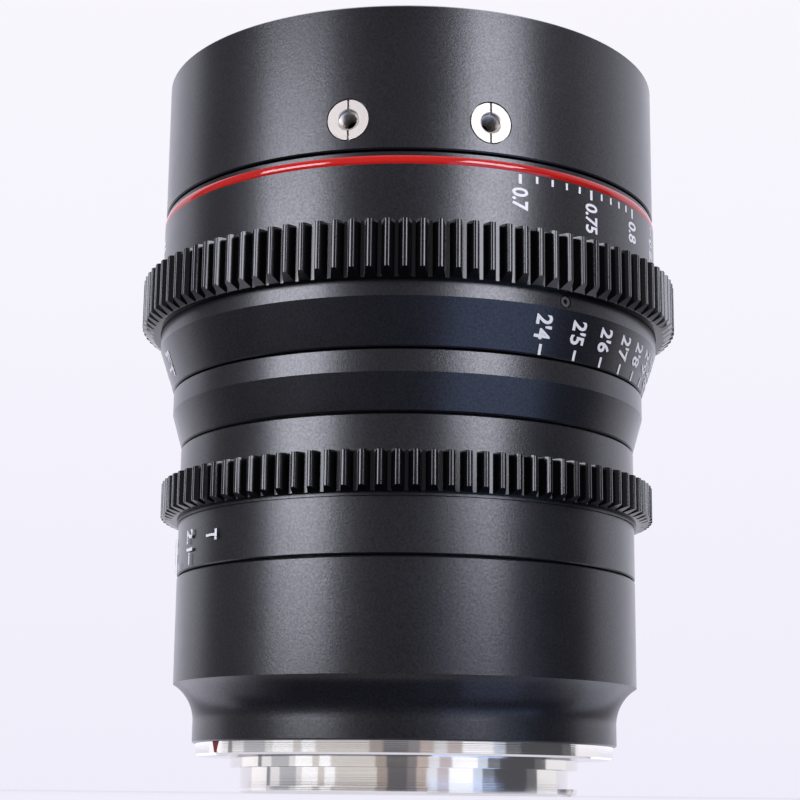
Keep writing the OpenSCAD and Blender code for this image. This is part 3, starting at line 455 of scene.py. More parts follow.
@dataclass
class FollowGear:
    """Follow gear ring with involute teeth, eased tips and chamfered ends.

    It replaces a node of the frame, and tooth_angle is the side angle of one tooth's middle. The
    root land is the flat part of the rear end before its chamfer starts, the web is the ring under
    the teeth, and the fillet is the height of the root fillets as a share of the module.
    """

    node: str
    body: str
    rear_chamfer: float
    tooth_angle: float
    module: float = 0.8 * MM
    pressure_angle: float = math.radians(20.0)
    web: float = 1.15 * MM
    root_land: float = 0.15 * MM
    top_chamfer: float = 0.15 * MM
    tip_ease: float = 0.07 * MM
    fillet: float = 0.3

    def __post_init__(self) -> None:
        """Reads the gear's size from the frame."""
        low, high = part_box(self.node)
        self.rear = low[2]
        self.top = high[2]
        self.tip_r = high[0]
        self.teeth = round(2.0 * self.tip_r / self.module) - 2
        self.pitch_r = self.teeth * self.module / 2.0
        self.root_r = self.pitch_r - 1.25 * self.module
        self.bore_r = self.root_r - self.web

    def half_angle(self, radius: float) -> float:
        """Gives half of a tooth's angle at a radius, in radians."""
        base = math.cos(self.pressure_angle) * self.pitch_r
        slope = math.acos(min(1.0, base / radius))
        rolled = math.tan(self.pressure_angle) - self.pressure_angle - math.tan(slope) + slope
        return math.pi / 2.0 / self.teeth + rolled

    def half_outline(self) -> list[tuple[float, float]]:
        """Gives the outline from the middle of a gap to the middle of a tip.

        Returns:
            Pairs of angle from the tooth's middle, in radians, and radius.
        """
        fillet_r = self.root_r + self.fillet * self.module
        ease = self.tip_ease / self.tip_r
        return [
            (math.pi / self.teeth, self.root_r),
            (self.half_angle(self.root_r) + 0.6 * ease, self.root_r),
            (self.half_angle(fillet_r), fillet_r),
            (self.half_angle(self.pitch_r), self.pitch_r),
            (self.half_angle(self.tip_r - self.tip_ease), self.tip_r - self.tip_ease),
            (self.half_angle(self.tip_r) - ease, self.tip_r),
        ]

    def rear_height(self, radius: float) -> float:
        """Gives the height of the chamfered rear end at a radius."""
        foot = self.root_r + self.root_land
        share = max(0.0, (radius - foot) / (self.tip_r - foot))
        return self.rear + self.rear_chamfer * share

    def front_height(self, radius: float) -> float:
        """Gives the height of the front end at a radius."""
        return self.top - max(0.0, radius - self.tip_r + self.top_chamfer)

    def end(self, bm: Mesh, verts: list, height: float) -> None:
        """Closes one end of a tooth and of the ring under it.

        Args:
            bm: Mesh of one tooth.
            verts: The outline's vertices at that end, from gap to gap.
            height: Height of the ring's end face.
        """
        bmesh.ops.contextual_create(bm, geom=verts[1:-1])
        base = [verts[0], verts[1], verts[-2], verts[-1]]
        edges = [bm.edges.get(pair) for pair in zip(base, base[1:])]
        for vert in grow(bm, edges):
            flat = Vector((vert.co.x, vert.co.y, 0.0))
            vert.co = flat.normalized() * self.bore_r + Vector((0.0, 0.0, height))

    def tooth(self) -> Mesh:
        """Builds one tooth with its share of the ring under it.

        Returns:
            The tooth, open towards its neighbours.
        """
        half = self.half_outline()
        outline = [(-angle, radius) for angle, radius in half] + half[::-1]
        bm = bmesh.new()
        rear = [
            bm.verts.new((math.cos(angle) * radius, math.sin(angle) * radius, self.rear_height(radius)))
            for angle, radius in outline
        ]
        edges = [bm.edges.new(pair) for pair in zip(rear, rear[1:])]
        front = sorted(grow(bm, edges), key=lambda v: math.atan2(v.co.y, v.co.x))
        for vert in front:
            vert.co.z = self.front_height(vert.co.xy.length)
        self.end(bm, rear, self.rear)
        self.end(bm, front, self.top)
        bore = self.bore_r + MERGE_DISTANCE
        inner = [e for e in bm.edges if all(v.co.xy.length < bore for v in e.verts)]
        rear_inner = [e for e in inner if e.verts[0].co.z < self.rear + MERGE_DISTANCE]
        front_inner = [e for e in inner if e not in rear_inner]
        bmesh.ops.bridge_loops(bm, edges=rear_inner + front_inner)
        return bm

    def build(self, finishes: Finishes) -> bpy.types.Object:
        """Builds the ring from one tooth that is spun round the axis.

        Args:
            finishes: The materials.

        Returns:
            The gear.
        """
        bm = self.tooth()
        bmesh.ops.spin(
            bm, geom=bm.verts[:] + bm.edges[:] + bm.faces[:], cent=(0.0, 0.0, 0.0), axis=(0.0, 0.0, 1.0),
            angle=math.tau * (self.teeth - 1) / self.teeth, steps=self.teeth - 1, use_duplicate=True)
        bmesh.ops.rotate(bm, verts=bm.verts, cent=(0.0, 0.0, 0.0),
                         matrix=Matrix.Rotation(math.radians(self.tooth_angle - 90.0), 3, "Z"))
        close_up(bm)
        piece = new_piece(self.node + "_cut", bm, sharp=50.0)
        piece.data.materials.append(finishes.gear)
        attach(piece, self.body)
        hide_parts(self.node)
        log.info("cut %s with %d teeth", piece.name, self.teeth)
        return piece


@dataclass
class InnerThread:
    """Thread ridge inside a bore of radius root_r, wound as a helix of some steps for each turn."""

    name: str
    body: str
    slot: str
    root_r: float
    pitch: float
    length: float
    steps: int

    def ridge(self) -> Mesh:
        """Winds the ridge round the Z axis, from height zero upwards.

        Returns:
            The ridge as a closed mesh.
        """
        depth = 0.54 * self.pitch
        sunk = 0.02 * self.pitch
        crest = 0.06 * self.pitch
        base = 0.42 * self.pitch
        profile = [(self.root_r + sunk, -base), (self.root_r - depth, -crest),
                   (self.root_r - depth, crest), (self.root_r + sunk, base)]
        turns = self.length / self.pitch - 1.0
        total = round(turns * self.steps)
        bm = bmesh.new()
        verts = [bm.verts.new((radius, 0.0, height + self.pitch / 2.0)) for radius, height in profile]
        face = bm.faces.new(verts)
        bmesh.ops.spin(
            bm, geom=[face], cent=(0.0, 0.0, 0.0), axis=(0.0, 0.0, 1.0),
            dvec=(0.0, 0.0, self.pitch / self.steps), angle=math.tau * total / self.steps, steps=total)
        close_up(bm)
        return bm

    def build(self, places: list[Matrix], material: bpy.types.Material) -> bpy.types.Object:
        """Puts one ridge at each place, as one piece.

        Args:
            places: Matrices that carry the ridge's axis and foot to each bore.
            material: The material.

        Returns:
            The threads.
        """
        whole = bmesh.new()
        for place in places:
            part = self.ridge()
            part.transform(place)
            pour(part, whole)
        piece = new_piece(self.name, whole, sharp=25.0)
        piece.data.materials.append(material)
        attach(piece, self.body)
        log.info("cut %s", piece.name)
        return piece


@dataclass
class Threads:
    """The thread for filters in the front ring, and those of the two accessory inserts.

    The depth of the filter thread's foot is counted from the front edge, and insert_foot_r is the
    radius round the optical axis where the inserts' threads begin.
    """

    length: float = 4.5 * MM
    filter_r: float = 38.5 * MM
    filter_pitch: float = 0.75 * MM
    filter_depth: float = 4.95 * MM
    insert_r: float = 1.5 * MM
    insert_pitch: float = 0.5 * MM
    insert_angles: tuple[float, float] = (-13.4, 17.0)
    insert_foot_r: float = 35.25 * MM

    def build(self, finishes: Finishes) -> None:
        """Cuts all threads at the places that the frame gives.

        Args:
            finishes: The materials.
        """
        front_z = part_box("front_ring")[1][2]
        low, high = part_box("accessory_inserts")
        middle = Vector((0.0, 0.0, (low[2] + high[2]) / 2.0))
        front_place = Matrix.Translation((0.0, 0.0, front_z - self.filter_depth))
        insert_places = []
        for angle in self.insert_angles:
            outward = side_direction(angle)
            foot = Matrix.Translation(outward * self.insert_foot_r + middle)
            insert_places.append(foot @ outward.to_track_quat("Z", "Y").to_matrix().to_4x4())
        InnerThread("filter_thread", "barrel", "barrel_black", self.filter_r, self.filter_pitch,
                    self.length, steps=120).build([front_place], finishes.barrel)
        InnerThread("insert_threads", "barrel", "insert_nickel", self.insert_r, self.insert_pitch,
                    self.length, steps=20).build(insert_places, finishes.insert)


@dataclass
class Surface:
    """Turned outside of a ring, straight or conical, by the height and radius of both its edges."""

    low_z: float
    low_r: float
    high_z: float
    high_r: float

    def radius(self, z: float) -> float:
        """Gives the radius at a height."""
        share = (z - self.low_z) / (self.high_z - self.low_z)
        return self.low_r + share * (self.high_r - self.low_r)


@dataclass
class Print:
    """White print laid on a turned surface, gathered in one mesh.

    It stands as far above the surface as it reaches below, by film. slice_len is the longest flat
    stretch round the surface. Strokes are thickened by bold, a share of a capital's height. capital
    is that height and spacing the distance of the characters, as shares of the font's.
    """

    name: str
    body: str
    surface: Surface
    film: float = 0.016 * MM
    slice_len: float = 0.35 * MM
    bold: float = 0.036
    capital: float = 0.7
    spacing: float = 0.98
    bm: Mesh = field(default_factory=bmesh.new)

    def lay(self, part: Mesh, angle: float, z: float) -> None:
        """Wraps a flat shape round the surface and adds it to the piece.

        Args:
            part: Flat shape in the XY plane, with X along the side angle and Y along the height.
            angle: Side angle of the shape's origin.
            z: Height of the shape's origin.
        """
        low = min(v.co.x for v in part.verts)
        high = max(v.co.x for v in part.verts)
        for k in range(1, math.ceil((high - low) / self.slice_len)):
            geom = part.verts[:] + part.edges[:] + part.faces[:]
            bmesh.ops.bisect_plane(part, geom=geom, plane_co=(low + k * self.slice_len, 0.0, 0.0),
                                   plane_no=(1.0, 0.0, 0.0), dist=MERGE_DISTANCE)
        bmesh.ops.triangulate(part, faces=part.faces)
        for vert in part.verts:
            height = z + vert.co.y
            radius = self.surface.radius(height)
            turn = angle + math.degrees(vert.co.x / radius)
            vert.co = side_direction(turn) * (radius + self.film) + Vector((0.0, 0.0, height))
        bmesh.ops.recalc_face_normals(part, faces=part.faces)
        for face in part.faces:
            if face.normal.dot(face.calc_center_median() * Vector((1.0, 1.0, 0.0))) < 0.0:
                face.normal_flip()
        bmesh.ops.solidify(part, geom=part.faces[:], thickness=2.0 * self.film)
        pour(part, self.bm)

    def line(self, angle: float, z: float, width: float, height: float) -> None:
        """Adds an upright line.

        Args:
            angle: Side angle of its middle.
            z: Height of its middle.
            width: Width round the surface.
            height: Length along the optical axis.
        """
        part = bmesh.new()
        bmesh.ops.create_grid(part, x_segments=1, y_segments=1, size=0.5)
        bmesh.ops.scale(part, vec=(width, height, 1.0), verts=part.verts)
        self.lay(part, angle, z)

    def characters(self, text: str, size: float) -> Mesh:
        """Writes characters flat in the XY plane.

        Args:
            text: The characters.
            size: Height of a capital.

        Returns:
            The characters as a flat mesh.
        """
        curve = bpy.data.curves.new("legend", "FONT")
        curve.body = text
        curve.size = size / self.capital
        curve.offset = self.bold * size
        curve.resolution_u = 4
        curve.fill_mode = "FRONT"
        curve.space_character = self.spacing
        holder = bpy.data.objects.new("legend", curve)
        bpy.context.scene.collection.objects.link(holder)
        bpy.context.view_layer.update()
        evaluated = holder.evaluated_get(bpy.context.evaluated_depsgraph_get())
        mesh = bpy.data.meshes.new_from_object(evaluated)
        bpy.data.objects.remove(holder)
        part = bmesh.new()
        part.from_mesh(mesh)
        bpy.data.meshes.remove(mesh)
        bmesh.ops.remove_doubles(part, verts=part.verts, dist=MERGE_DISTANCE)
        return part

    def legend(self, text: str, angle: float, z: float, size: float, narrow: float = 0.8) -> None:
        """Adds characters that hang from a height, centred on an angle and running to the rear.

        Args:
            text: The characters.
            angle: Side angle of their middle line.
            z: Height of the start of the text.
            size: Height of a capital.
            narrow: Width of the characters as a share of the plain font's.
        """
        part = self.characters(text, size)
        bmesh.ops.scale(part, vec=(narrow, 1.0, 1.0), verts=part.verts)
        left = min(v.co.x for v in part.verts)
        low = min(v.co.y for v in part.verts)
        high = max(v.co.y for v in part.verts)
        bmesh.ops.translate(part, vec=(-left, -(low + high) / 2.0, 0.0), verts=part.verts)
        bmesh.ops.rotate(part, verts=part.verts, cent=(0.0, 0.0, 0.0),
                         matrix=Matrix.Rotation(-math.pi / 2.0, 3, "Z"))
        self.lay(part, angle, z)

    def finish(self, finishes: Finishes, slot: str) -> bpy.types.Object:
        """Makes the piece.

        Args:
            finishes: The materials.
            slot: The record's material slot of the ring under the print; not used.

        Returns:
            The print.
        """
        close_up(self.bm)
        piece = new_piece(self.name, self.bm)
        piece.data.materials.append(finishes.ink)
        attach(piece, self.body)
        log.info("printed %s", piece.name)
        return piece


@dataclass
class FocusScales:
    """Distance scales of the focus ring, in metres by the red ring and in feet on the cone.

    The turn of the ring follows the thin lens law: a mark's angle from infinity falls with the
    distance from the lens's front focus, which is focus_offset metres before the image plane.
    Names that end in _w are widths of lines and those in _h heights of characters. A rise leads up
    from the ring's rear edge. The metre drop leads down from the red ring to the lines, and every
    other drop down from the lines or numbers before it.
    """

    throw: float = 246.5
    infinity: float = 270.0
    near: float = 0.7
    focus_offset: float = 0.104
    long_line: float = 1.5 * MM
    short_line: float = 1.05 * MM
    infinity_h: float = 1.47 * MM
    metre_line_w: float = 0.506 * MM
    fine_line_w: float = 0.396 * MM
    metre_digit_h: float = 2.45 * MM
    metre_drop: float = 1.05 * MM
    metre_digit_drop: float = 1.35 * MM
    metre_letter_turn: float = 281.0
    feet_line_w: float = 0.484 * MM
    feet_digit_h: float = 2.646 * MM
    feet_shift: float = 1.9
    feet_line_rise: float = 0.1 * MM
    feet_digit_rise: float = 5.75 * MM
    feet_infinity_drop: float = 1.0 * MM
    feet_letters_turn: float = 285.5
    feet_letters_h: float = 2.695 * MM
    feet_letters_drop: float = 0.5 * MM
    cone_r: float = 37.86 * MM
    cone_len: float = 6.9 * MM

    def angle(self, distance: float) -> float:
        """Gives the side angle of a distance in metres at rest, where infinity is at the index."""
        share = (self.near - self.focus_offset) / (distance - self.focus_offset)
        return self.infinity - self.throw * share

    def build(self, finishes: Finishes) -> None:
        """Prints both scales.

        Args:
            finishes: The materials.
        """
        low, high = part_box("focus_ring")
        gear_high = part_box("focus_gear")[1]
        accent_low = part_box("accent_ring")[0]
        band_r = high[0]
        cone = Surface(low[2], self.cone_r, low[2] + self.cone_len, band_r)
        band = Surface(gear_high[2], band_r, high[2], band_r)
        self.metres(finishes, band, accent_low[2])
        self.feet(finishes, cone, low[2])

    def metres(self, finishes: Finishes, band: Surface, ring_z: float) -> None:
        """Prints the metre scale.

        Args:
            finishes: The materials.
            band: The surface in front of the gear.
            ring_z: Height of the red ring's rear edge.
        """
        scale = Print("metre_scale", "focus", band)
        line_z = ring_z - self.metre_drop
        short_z = line_z + (self.long_line - self.short_line) / 2.0
        digit_z = line_z - self.metre_digit_drop
        for text in ("0.7", "0.75", "0.8", "0.85", "0.9", "1", "1.2", "1.5", "2", "3", "5"):
            angle = self.angle(float(text))
            scale.line(angle, line_z, self.metre_line_w, self.long_line)
            scale.legend(text, angle, digit_z, self.metre_digit_h)
        for centimetres in (1, 2, 3, 4, 6, 7, 8, 9):
            angle = self.angle(self.near + 0.01 * centimetres)
            scale.line(angle, short_z, self.fine_line_w, self.short_line)
        scale.line(self.infinity, line_z, self.metre_line_w, self.long_line)
        scale.legend("∞", self.infinity, digit_z, self.infinity_h)
        scale.legend("M", self.metre_letter_turn, digit_z, self.metre_digit_h)
        scale.finish(finishes, "barrel_black")

    def feet(self, finishes: Finishes, cone: Surface, rear_z: float) -> None:
        """Prints the feet scale.

        Args:
            finishes: The materials.
            cone: The conical surface behind the gear.
            rear_z: Height of the focus ring's rear edge.
        """
        scale = Print("feet_scale", "focus", cone)
        line_z = rear_z + self.feet_line_rise + self.long_line / 2.0
        digit_z = rear_z + self.feet_digit_rise
        marks = [("2'%d" % inch, 2.0 + inch / 12.0) for inch in range(4, 12)]
        marks += [("3'6", 3.5)] + [("%d'" % feet, float(feet)) for feet in (3, 4, 5, 7, 10, 20)]
        for text, feet in marks:
            angle = self.angle(feet * FOOT) + self.feet_shift
            scale.line(angle, line_z, self.feet_line_w, self.long_line)
            scale.legend(text, angle, digit_z, self.feet_digit_h)
        scale.line(self.infinity, line_z, self.feet_line_w, self.long_line)
        scale.legend("∞", self.infinity, digit_z - self.feet_infinity_drop, self.infinity_h)
        scale.legend("FT", self.feet_letters_turn, digit_z - self.feet_letters_drop,
                     self.feet_letters_h, narrow=1.0)
        scale.finish(finishes, "barrel_black")


@dataclass
class StopScale:
    """T-stop scale of the iris ring.

    The opening's radius falls evenly with the turn of the ring, so a stop's angle from the widest
    one follows the inverse of its number. Short lines stand half-way between the numbers. A rise
    leads up from the ring's rear edge, and the letter's turn and drop start at the first number.
    """

    first: float = -64.0
    throw: float = 70.0
    digit_h: float = 2.3 * MM
    line_w: float = 0.38 * MM
    long_line: float = 1.85 * MM
    short_line: float = 1.05 * MM
    line_rise: float = 1.4 * MM
    digit_rise: float = 5.9 * MM
    letter_turn: float = 11.6
    letter_drop: float = 0.8 * MM
    letter_h: float = 2.875 * MM
    letter_narrow: float = 0.66
    stops: tuple[str, ...] = ("2.1", "2.8", "4", "5.6", "8", "11", "22")

    def angle(self, stop: float) -> float:
        """Gives the side angle of a stop."""
        widest, smallest = float(self.stops[0]), float(self.stops[-1])
        share = (1.0 - widest / stop) / (1.0 - widest / smallest)
        return self.first - self.throw * share

    def build(self, finishes: Finishes) -> None:
        """Prints the scale.

        Args:
            finishes: The materials.
        """
        low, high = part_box("iris_ring")
        band_r = high[0]
        scale = Print("stop_scale", "iris", Surface(low[2], band_r, high[2], band_r))
        line_z = low[2] + self.line_rise
        short_z = line_z - (self.long_line - self.short_line) / 2.0
        digit_z = low[2] + self.digit_rise
        angles = [self.angle(float(text)) for text in self.stops]
        for text, angle in zip(self.stops, angles):
            scale.line(angle, line_z, self.line_w, self.long_line)
            scale.legend(text, angle, digit_z, self.digit_h, narrow=1.0)
        for before, after in zip(angles, angles[1:]):
            scale.line((before + after) / 2.0, short_z, self.line_w, self.short_line)
        scale.legend("T", self.first + self.letter_turn, digit_z - self.letter_drop, self.letter_h,
                     narrow=self.letter_narrow)
        scale.finish(finishes, "barrel_black")


@dataclass
class IndexLines:
    """Index lines on the fixed rings, where the scales are read, on both sides of the lens.

    Each of the lines has its ring's node, whether it is at the front edge, and its length.
    """

    angle: float = -90.0
    line_w: float = 0.36 * MM
    margin: float = 0.5 * MM
    lines: tuple[tuple[str, bool, float], ...] = (
        ("front_ring", False, 2.4 * MM),
        ("middle_barrel", True, 2.2 * MM),
        ("rear_barrel", True, 3.0 * MM),
    )

    def build(self, finishes: Finishes) -> None:
        """Prints the lines.

        Args:
            finishes: The materials.
        """
        for node, at_front, length in self.lines:
            low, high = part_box(node)
            surface = Surface(low[2], high[0], high[2], high[0])
            inset = length / 2.0 + self.margin
            z = high[2] - inset if at_front else low[2] + inset
            lines = Print(node + "_index", "barrel", surface)
            for turn in (self.angle, self.angle + 180.0):
                lines.line(turn, z, self.line_w, length)
            lines.finish(finishes, "barrel_black")


@dataclass
class Card:
    """Card beside the lens that nothing but a reflection shows, as a photographer shapes gloss with.

    It spans the side angles between its two edges, near and far, which are given by radius and
    height. Its widest flat stretch is step, in degrees.
    """

    name: str
    near: tuple[float, float]
    far: tuple[float, float]
    angles: tuple[float, float]
    colour: Colour
    step: float = 10.0

    def build(self) -> None:
        """Spins the card round the lens."""
        first, last = self.angles
        bm = bmesh.new()
        ends = [bm.verts.new(side_direction(first) * radius + Vector((0.0, 0.0, z)))
                for radius, z in (self.near, self.far)]
        edge = bm.edges.new(ends)
        bmesh.ops.spin(
            bm, geom=ends + [edge], cent=(0.0, 0.0, 0.0), axis=(0.0, 0.0, 1.0),
            angle=math.radians(last - first), steps=math.ceil((last - first) / self.step))
        card = new_piece(self.name, bm)
        # Painted reflection: the card glows with its own colour, lights no diffuse surface, and shows
        # only in gloss and through glass.
        shader = Shader(self.name)
        shader.set(Base_Color=(0.0, 0.0, 0.0, 1.0), Specular_IOR_Level=0.0,
                   Emission_Color=(*self.colour, 1.0), Emission_Strength=1.0)
        card.data.materials.append(shader.material)
        card.visible_camera = False
        card.visible_diffuse = False
        card.visible_shadow = False


@dataclass
class Bands:
    """Ring of cards side by side round the lens, each with its own brightness.

    Each band has its first side angle and its colour; the last entry ends the ring.
    """

    name: str
    near: tuple[float, float]
    far: tuple[float, float]
    bands: tuple[tuple[float, Colour | None], ...]

    def build(self) -> None:
        """Sets up one card for each band."""
        for k, (band, following) in enumerate(zip(self.bands, self.bands[1:]), start=1):
            first, colour = band
            Card("%s_%d" % (self.name, k), self.near, self.far, (first, following[0]), colour).build()


@dataclass
class SoftBox:
    """Rectangular soft box that faces the lens.

    Attributes:
        azimuth, elevation, distance: Where it hangs, seen from its target, in degrees and metres.
        size: Width and height.
        radiance, colour: Brightness and tint of its face.
        tilt: Turn of the box in its own plane, in degrees.
        target: Place in the lens that it faces.
    """

    name: str
    azimuth: float
    elevation: float
    distance: float
    size: tuple[float, float]
    radiance: float
    tilt: float = 0.0
    colour: Colour = (0.93, 0.94, 1.06)
    target: tuple[float, float, float] = (0.0, 0.0, 0.05)

    def build(self) -> None:
        """Hangs the soft box."""
        data = bpy.data.lights.new(self.name, "AREA")
        data.shape = "RECTANGLE"
        data.size, data.size_y = self.size
        data.color = self.colour
        data.energy = self.radiance * math.pi * self.size[0] * self.size[1]
        lamp = bpy.data.objects.new(self.name, data)
        bpy.context.scene.collection.objects.link(lamp)
        rise = math.radians(self.elevation)
        place = side_direction(self.azimuth) * math.cos(rise) * self.distance
        place.z = math.sin(rise) * self.distance
        facing = (-place).to_track_quat("-Z", "Y").to_matrix().to_4x4()
        lean = Matrix.Rotation(math.radians(self.tilt), 4, "Z")
        lamp.matrix_world = Matrix.Translation(Vector(self.target) + place) @ facing @ lean


class Tone:
    """Colours of the reflection cards, from bright to dark."""

    GLARE: Colour = (1.35, 1.34, 1.4)
    PALE: Colour = (1.28, 1.27, 1.46)
    WHITE: Colour = (0.98, 0.96, 1.0)
    WARM: Colour = (0.84, 0.79, 0.77)
    TAN: Colour = (0.66, 0.55, 0.52)
    DIM: Colour = (0.07, 0.075, 0.11)


@dataclass
class Studio:
    """Plain pale floor, white surroundings, soft boxes, reflection cards and the camera.

    The floor glows less where the soft boxes light it, so that it meets the surroundings everywhere
    and still keeps the shadow of the lens. The camera sees the colours from horizon to sky, and the
    lens is lit by light. lit_floor holds the distances between which the soft boxes' light on the
    floor fades, and floor_glow the glow at each. The camera's height is counted from the floor.
    """

    floor_z: float
    focal_px: float = 1841.0
    image_px: float = 800.0
    sensor: float = 36.0
    pitch: float = 12.05
    roll: float = 0.62
    camera_place: tuple[float, float, float] = (-1.22 * MM, -293.4 * MM, 0.28 * MM)
    horizon: Colour = (0.87, 0.85, 0.955)
    sky: Colour = (0.955, 0.935, 0.99)
    sky_rise: float = 0.45
    light: Colour = (0.44, 0.44, 0.48)
    floor_radius: float = 6.0
    lit_floor: tuple[float, float] = (0.3, 1.2)
    floor_glow: tuple[float, float] = (0.78, 0.93)
    table_gap: float = 0.5 * MM

    def camera(self) -> None:
        """Sets the camera as the photograph was taken."""
        data = bpy.data.cameras.new("camera")
        data.sensor_width = self.sensor
        data.lens = self.sensor * self.focal_px / self.image_px
        data.clip_start = 1.0 * MM
        data.clip_end = 20.0
        camera = bpy.data.objects.new("camera", data)
        bpy.context.scene.collection.objects.link(camera)
        x, y, z = self.camera_place
        turn = (Matrix.Rotation(math.radians(90.0 + self.pitch), 4, "X")
                @ Matrix.Rotation(math.radians(self.roll), 4, "Z"))
        camera.matrix_world = Matrix.Translation((x, y, self.floor_z + z)) @ turn
        bpy.context.scene.camera = camera

    def seen(self, tree: bpy.types.NodeTree) -> Socket:
        """Adds nodes that tell rays from the camera, from gloss and through glass from the rest.

        Args:
            tree: The node tree.

        Returns:
            Socket that is 1 for those rays and 0 for the others.
        """
        path = tree.nodes.new("ShaderNodeLightPath")
        either = path.outputs["Is Camera Ray"]
        for other in ("Is Glossy Ray", "Is Transmission Ray"):
            either = combine(tree, "MAXIMUM", either, path.outputs[other])
        return either

    def world(self) -> None:
        """Makes the surroundings pale to look at, and plainer as a light."""
        world = bpy.data.worlds.new("studio")
        world.use_nodes = True
        bpy.context.scene.world = world
        tree = world.node_tree
        tree.nodes.clear()
        place = tree.nodes.new("ShaderNodeTexCoord")
        split = tree.nodes.new("ShaderNodeSeparateXYZ")
        tree.links.new(place.outputs["Generated"], split.inputs[0])
        rise = tree.nodes.new("ShaderNodeMapRange")
        rise.inputs["From Max"].default_value = self.sky_rise
        tree.links.new(split.outputs["Z"], rise.inputs["Value"])
        backdrop = tree.nodes.new("ShaderNodeBackground")
        fade = mix_colours(tree, rise.outputs["Result"], self.horizon, self.sky)
        tree.links.new(fade, backdrop.inputs["Color"])
        light = tree.nodes.new("ShaderNodeBackground")
        light.inputs["Color"].default_value = (*self.light, 1.0)
        mix = tree.nodes.new("ShaderNodeMixShader")
        tree.links.new(self.seen(tree), mix.inputs["Fac"])
        tree.links.new(light.outputs["Background"], mix.inputs[1])
        tree.links.new(backdrop.outputs["Background"], mix.inputs[2])
        output = tree.nodes.new("ShaderNodeOutputWorld")
        tree.links.new(mix.outputs["Shader"], output.inputs["Surface"])

    def floor(self) -> None:
        """Lays the floor under the lens, with a glow that meets the surroundings."""
        bm = bmesh.new()
        bmesh.ops.create_circle(bm, cap_ends=True, segments=96, radius=self.floor_radius)
        bmesh.ops.translate(bm, vec=(0.0, 0.0, self.floor_z), verts=bm.verts)
        piece = new_piece("floor", bm)
        shader = Shader("pale_floor")
        shader.set(Roughness=0.8, Specular_IOR_Level=0.0, Emission_Color=(*self.horizon, 1.0))
        shader.tint(shader.noise(scale=400.0), (0.125, 0.123, 0.128), (0.14, 0.138, 0.143))
        spread = shader.nodes.new("ShaderNodeMapRange")
        for side, distance, glow in zip(("Min", "Max"), self.lit_floor, self.floor_glow):
            spread.inputs["From " + side].default_value = distance
            spread.inputs["To " + side].default_value = glow
        shader.links.new(shader.distance(shader.place), spread.inputs["Value"])
        shown = self.seen(shader.material.node_tree)
        strength = combine(shader.material.node_tree, "MULTIPLY", shown, spread.outputs["Result"])
        shader.links.new(strength, shader.surface.inputs["Emission Strength"])
        piece.data.materials.append(shader.material)

    def soft_boxes(self) -> list[SoftBox]:
        """Gives the lamps: one at the left, one at the right, and a large one above and behind."""
        return [
            SoftBox("left_soft_box", -51.5, 13.0, 0.6, (0.32, 0.235), 12.4),
            SoftBox("right_soft_box", 36.0, 19.0, 0.6, (0.26, 0.26), 12.5, tilt=-20.0),
            SoftBox("top_soft_box", 180.0, 75.0, 1.0, (0.8, 0.8), 2.0),
        ]

    def wall_cards(self) -> list[Bands | Card]:
        """Gives the standing cards, painted reflections which darken the barrel between the soft boxes'
        reflections and glow brightly far to the sides.
        """
        room = (
            (-170.0, Tone.PALE), (-114.0, (0.22, 0.22, 0.25)), (-97.0, (0.28, 0.28, 0.32)),
            (68.0, (0.48, 0.48, 0.54)), (86.0, (0.94, 0.92, 1.05)), (106.0, Tone.PALE), (170.0, None),
        )
        return [
            Bands("room", (0.8, 0.02), (0.8, 1.3), room),
            Card("right_card", (0.7, 0.02), (0.7, 0.22), (50.0, 99.0), (0.07, 0.07, 0.075)),
        ]

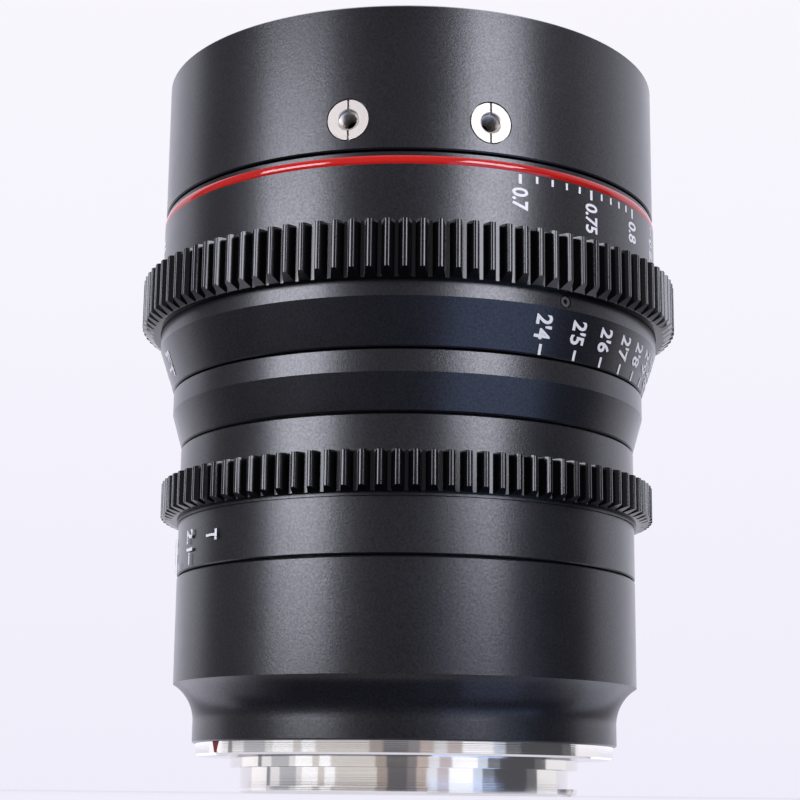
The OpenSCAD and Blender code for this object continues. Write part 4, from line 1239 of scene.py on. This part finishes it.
    def table_cards(self) -> list[Bands | Card]:
        """Gives the lying cards, which paint the table's light and shade into the reflections of the
        cones and the cove.
        """
        z = self.floor_z + self.table_gap
        near = (
            (-78.0, (0.8, 0.8, 0.92)), (-66.0, (0.5, 0.5, 0.6)), (-56.0, (0.24, 0.24, 0.29)),
            (-46.0, (0.12, 0.125, 0.17)), (4.0, (0.2, 0.22, 0.32)), (20.0, (0.55, 0.65, 1.0)),
            (42.0, (0.3, 0.33, 0.45)), (62.0, (0.6, 0.6, 0.68)), (76.0, None),
        )
        far = (
            (-135.0, (0.4, 0.4, 0.46)), (-106.0, (0.105, 0.11, 0.145)), (16.0, (0.75, 1.0, 1.7)),
            (62.0, Tone.DIM), (104.0, (0.3, 0.3, 0.33)), (135.0, None),
        )
        return [
            # Painted light and shade of the table: glowing cards where it is lit, dark ones where the
            # lens shades it, most of all round its front.
            Card("side_lit_table_1", (0.034, z), (0.08, z), (-180.0, -78.0), (1.45, 1.42, 1.65)),
            Bands("near_table_light_and_shade", (0.034, z), (0.05, z), near),
            Card("far_side_lit_table_1", (0.034, z), (0.08, z), (76.0, 180.0), (1.2, 1.2, 1.42)),
            Bands("table", (0.08, z), (0.75, z), far),
            # Dark card in front of the lens: painted shadow of the lens on the table.
            Card("middle_table_shade", (0.05, z), (0.08, z), (-78.0, 76.0), Tone.DIM),
        ]

    def mount_cards(self) -> list[Bands]:
        """Gives the low cards, which stripe the polished bayonet."""
        stripes = (
            (-130.0, (1.15, 1.12, 1.17)), (-108.0, (0.3, 0.3, 0.33)), (-104.0, Tone.WHITE),
            (-94.0, (0.58, 0.58, 0.63)), (-78.0, Tone.WHITE), (-73.0, Tone.GLARE), (-60.0, Tone.WARM),
            (-55.0, Tone.GLARE), (-47.0, Tone.WARM), (-18.0, (0.46, 0.385, 0.35)),
            (-11.0, (0.14, 0.13, 0.135)), (2.0, (0.27, 0.24, 0.25)), (8.0, Tone.TAN),
            (15.0, Tone.WHITE), (22.0, Tone.TAN), (30.0, Tone.GLARE), (47.0, (0.77, 0.84, 1.0)),
            (54.0, (0.2, 0.2, 0.21)), (63.0, (0.09, 0.09, 0.1)), (92.0, (0.17, 0.17, 0.18)),
            (103.0, Tone.WHITE), (130.0, None),
        )
        return [Bands("mount_light", (0.7, self.floor_z), (0.7, 0.02), stripes)]

    def build(self) -> None:
        """Builds the whole studio."""
        self.camera()
        self.world()
        self.floor()
        for item in self.soft_boxes() + self.wall_cards() + self.table_cards() + self.mount_cards():
            item.build()


def main() -> None:
    """Builds the looks of the lens around its frame."""
    logging.basicConfig(level=logging.INFO, format="%(name)s: %(message)s")
    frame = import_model()
    finishes = Finishes()
    finishes.dress(frame["nodes"])
    FollowGear("focus_gear", "focus", rear_chamfer=1.1 * MM, tooth_angle=-1.0).build(finishes)
    FollowGear("iris_gear", "iris", rear_chamfer=0.6 * MM, tooth_angle=1.6).build(finishes)
    Threads().build(finishes)
    FocusScales().build(finishes)
    StopScale().build(finishes)
    IndexLines().build(finishes)
    Studio(floor_z=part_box("bayonet_mount")[0][2]).build()
    scene = bpy.context.scene
    scene.view_settings.view_transform = "Standard"


if __name__ == "__main__":
    main()
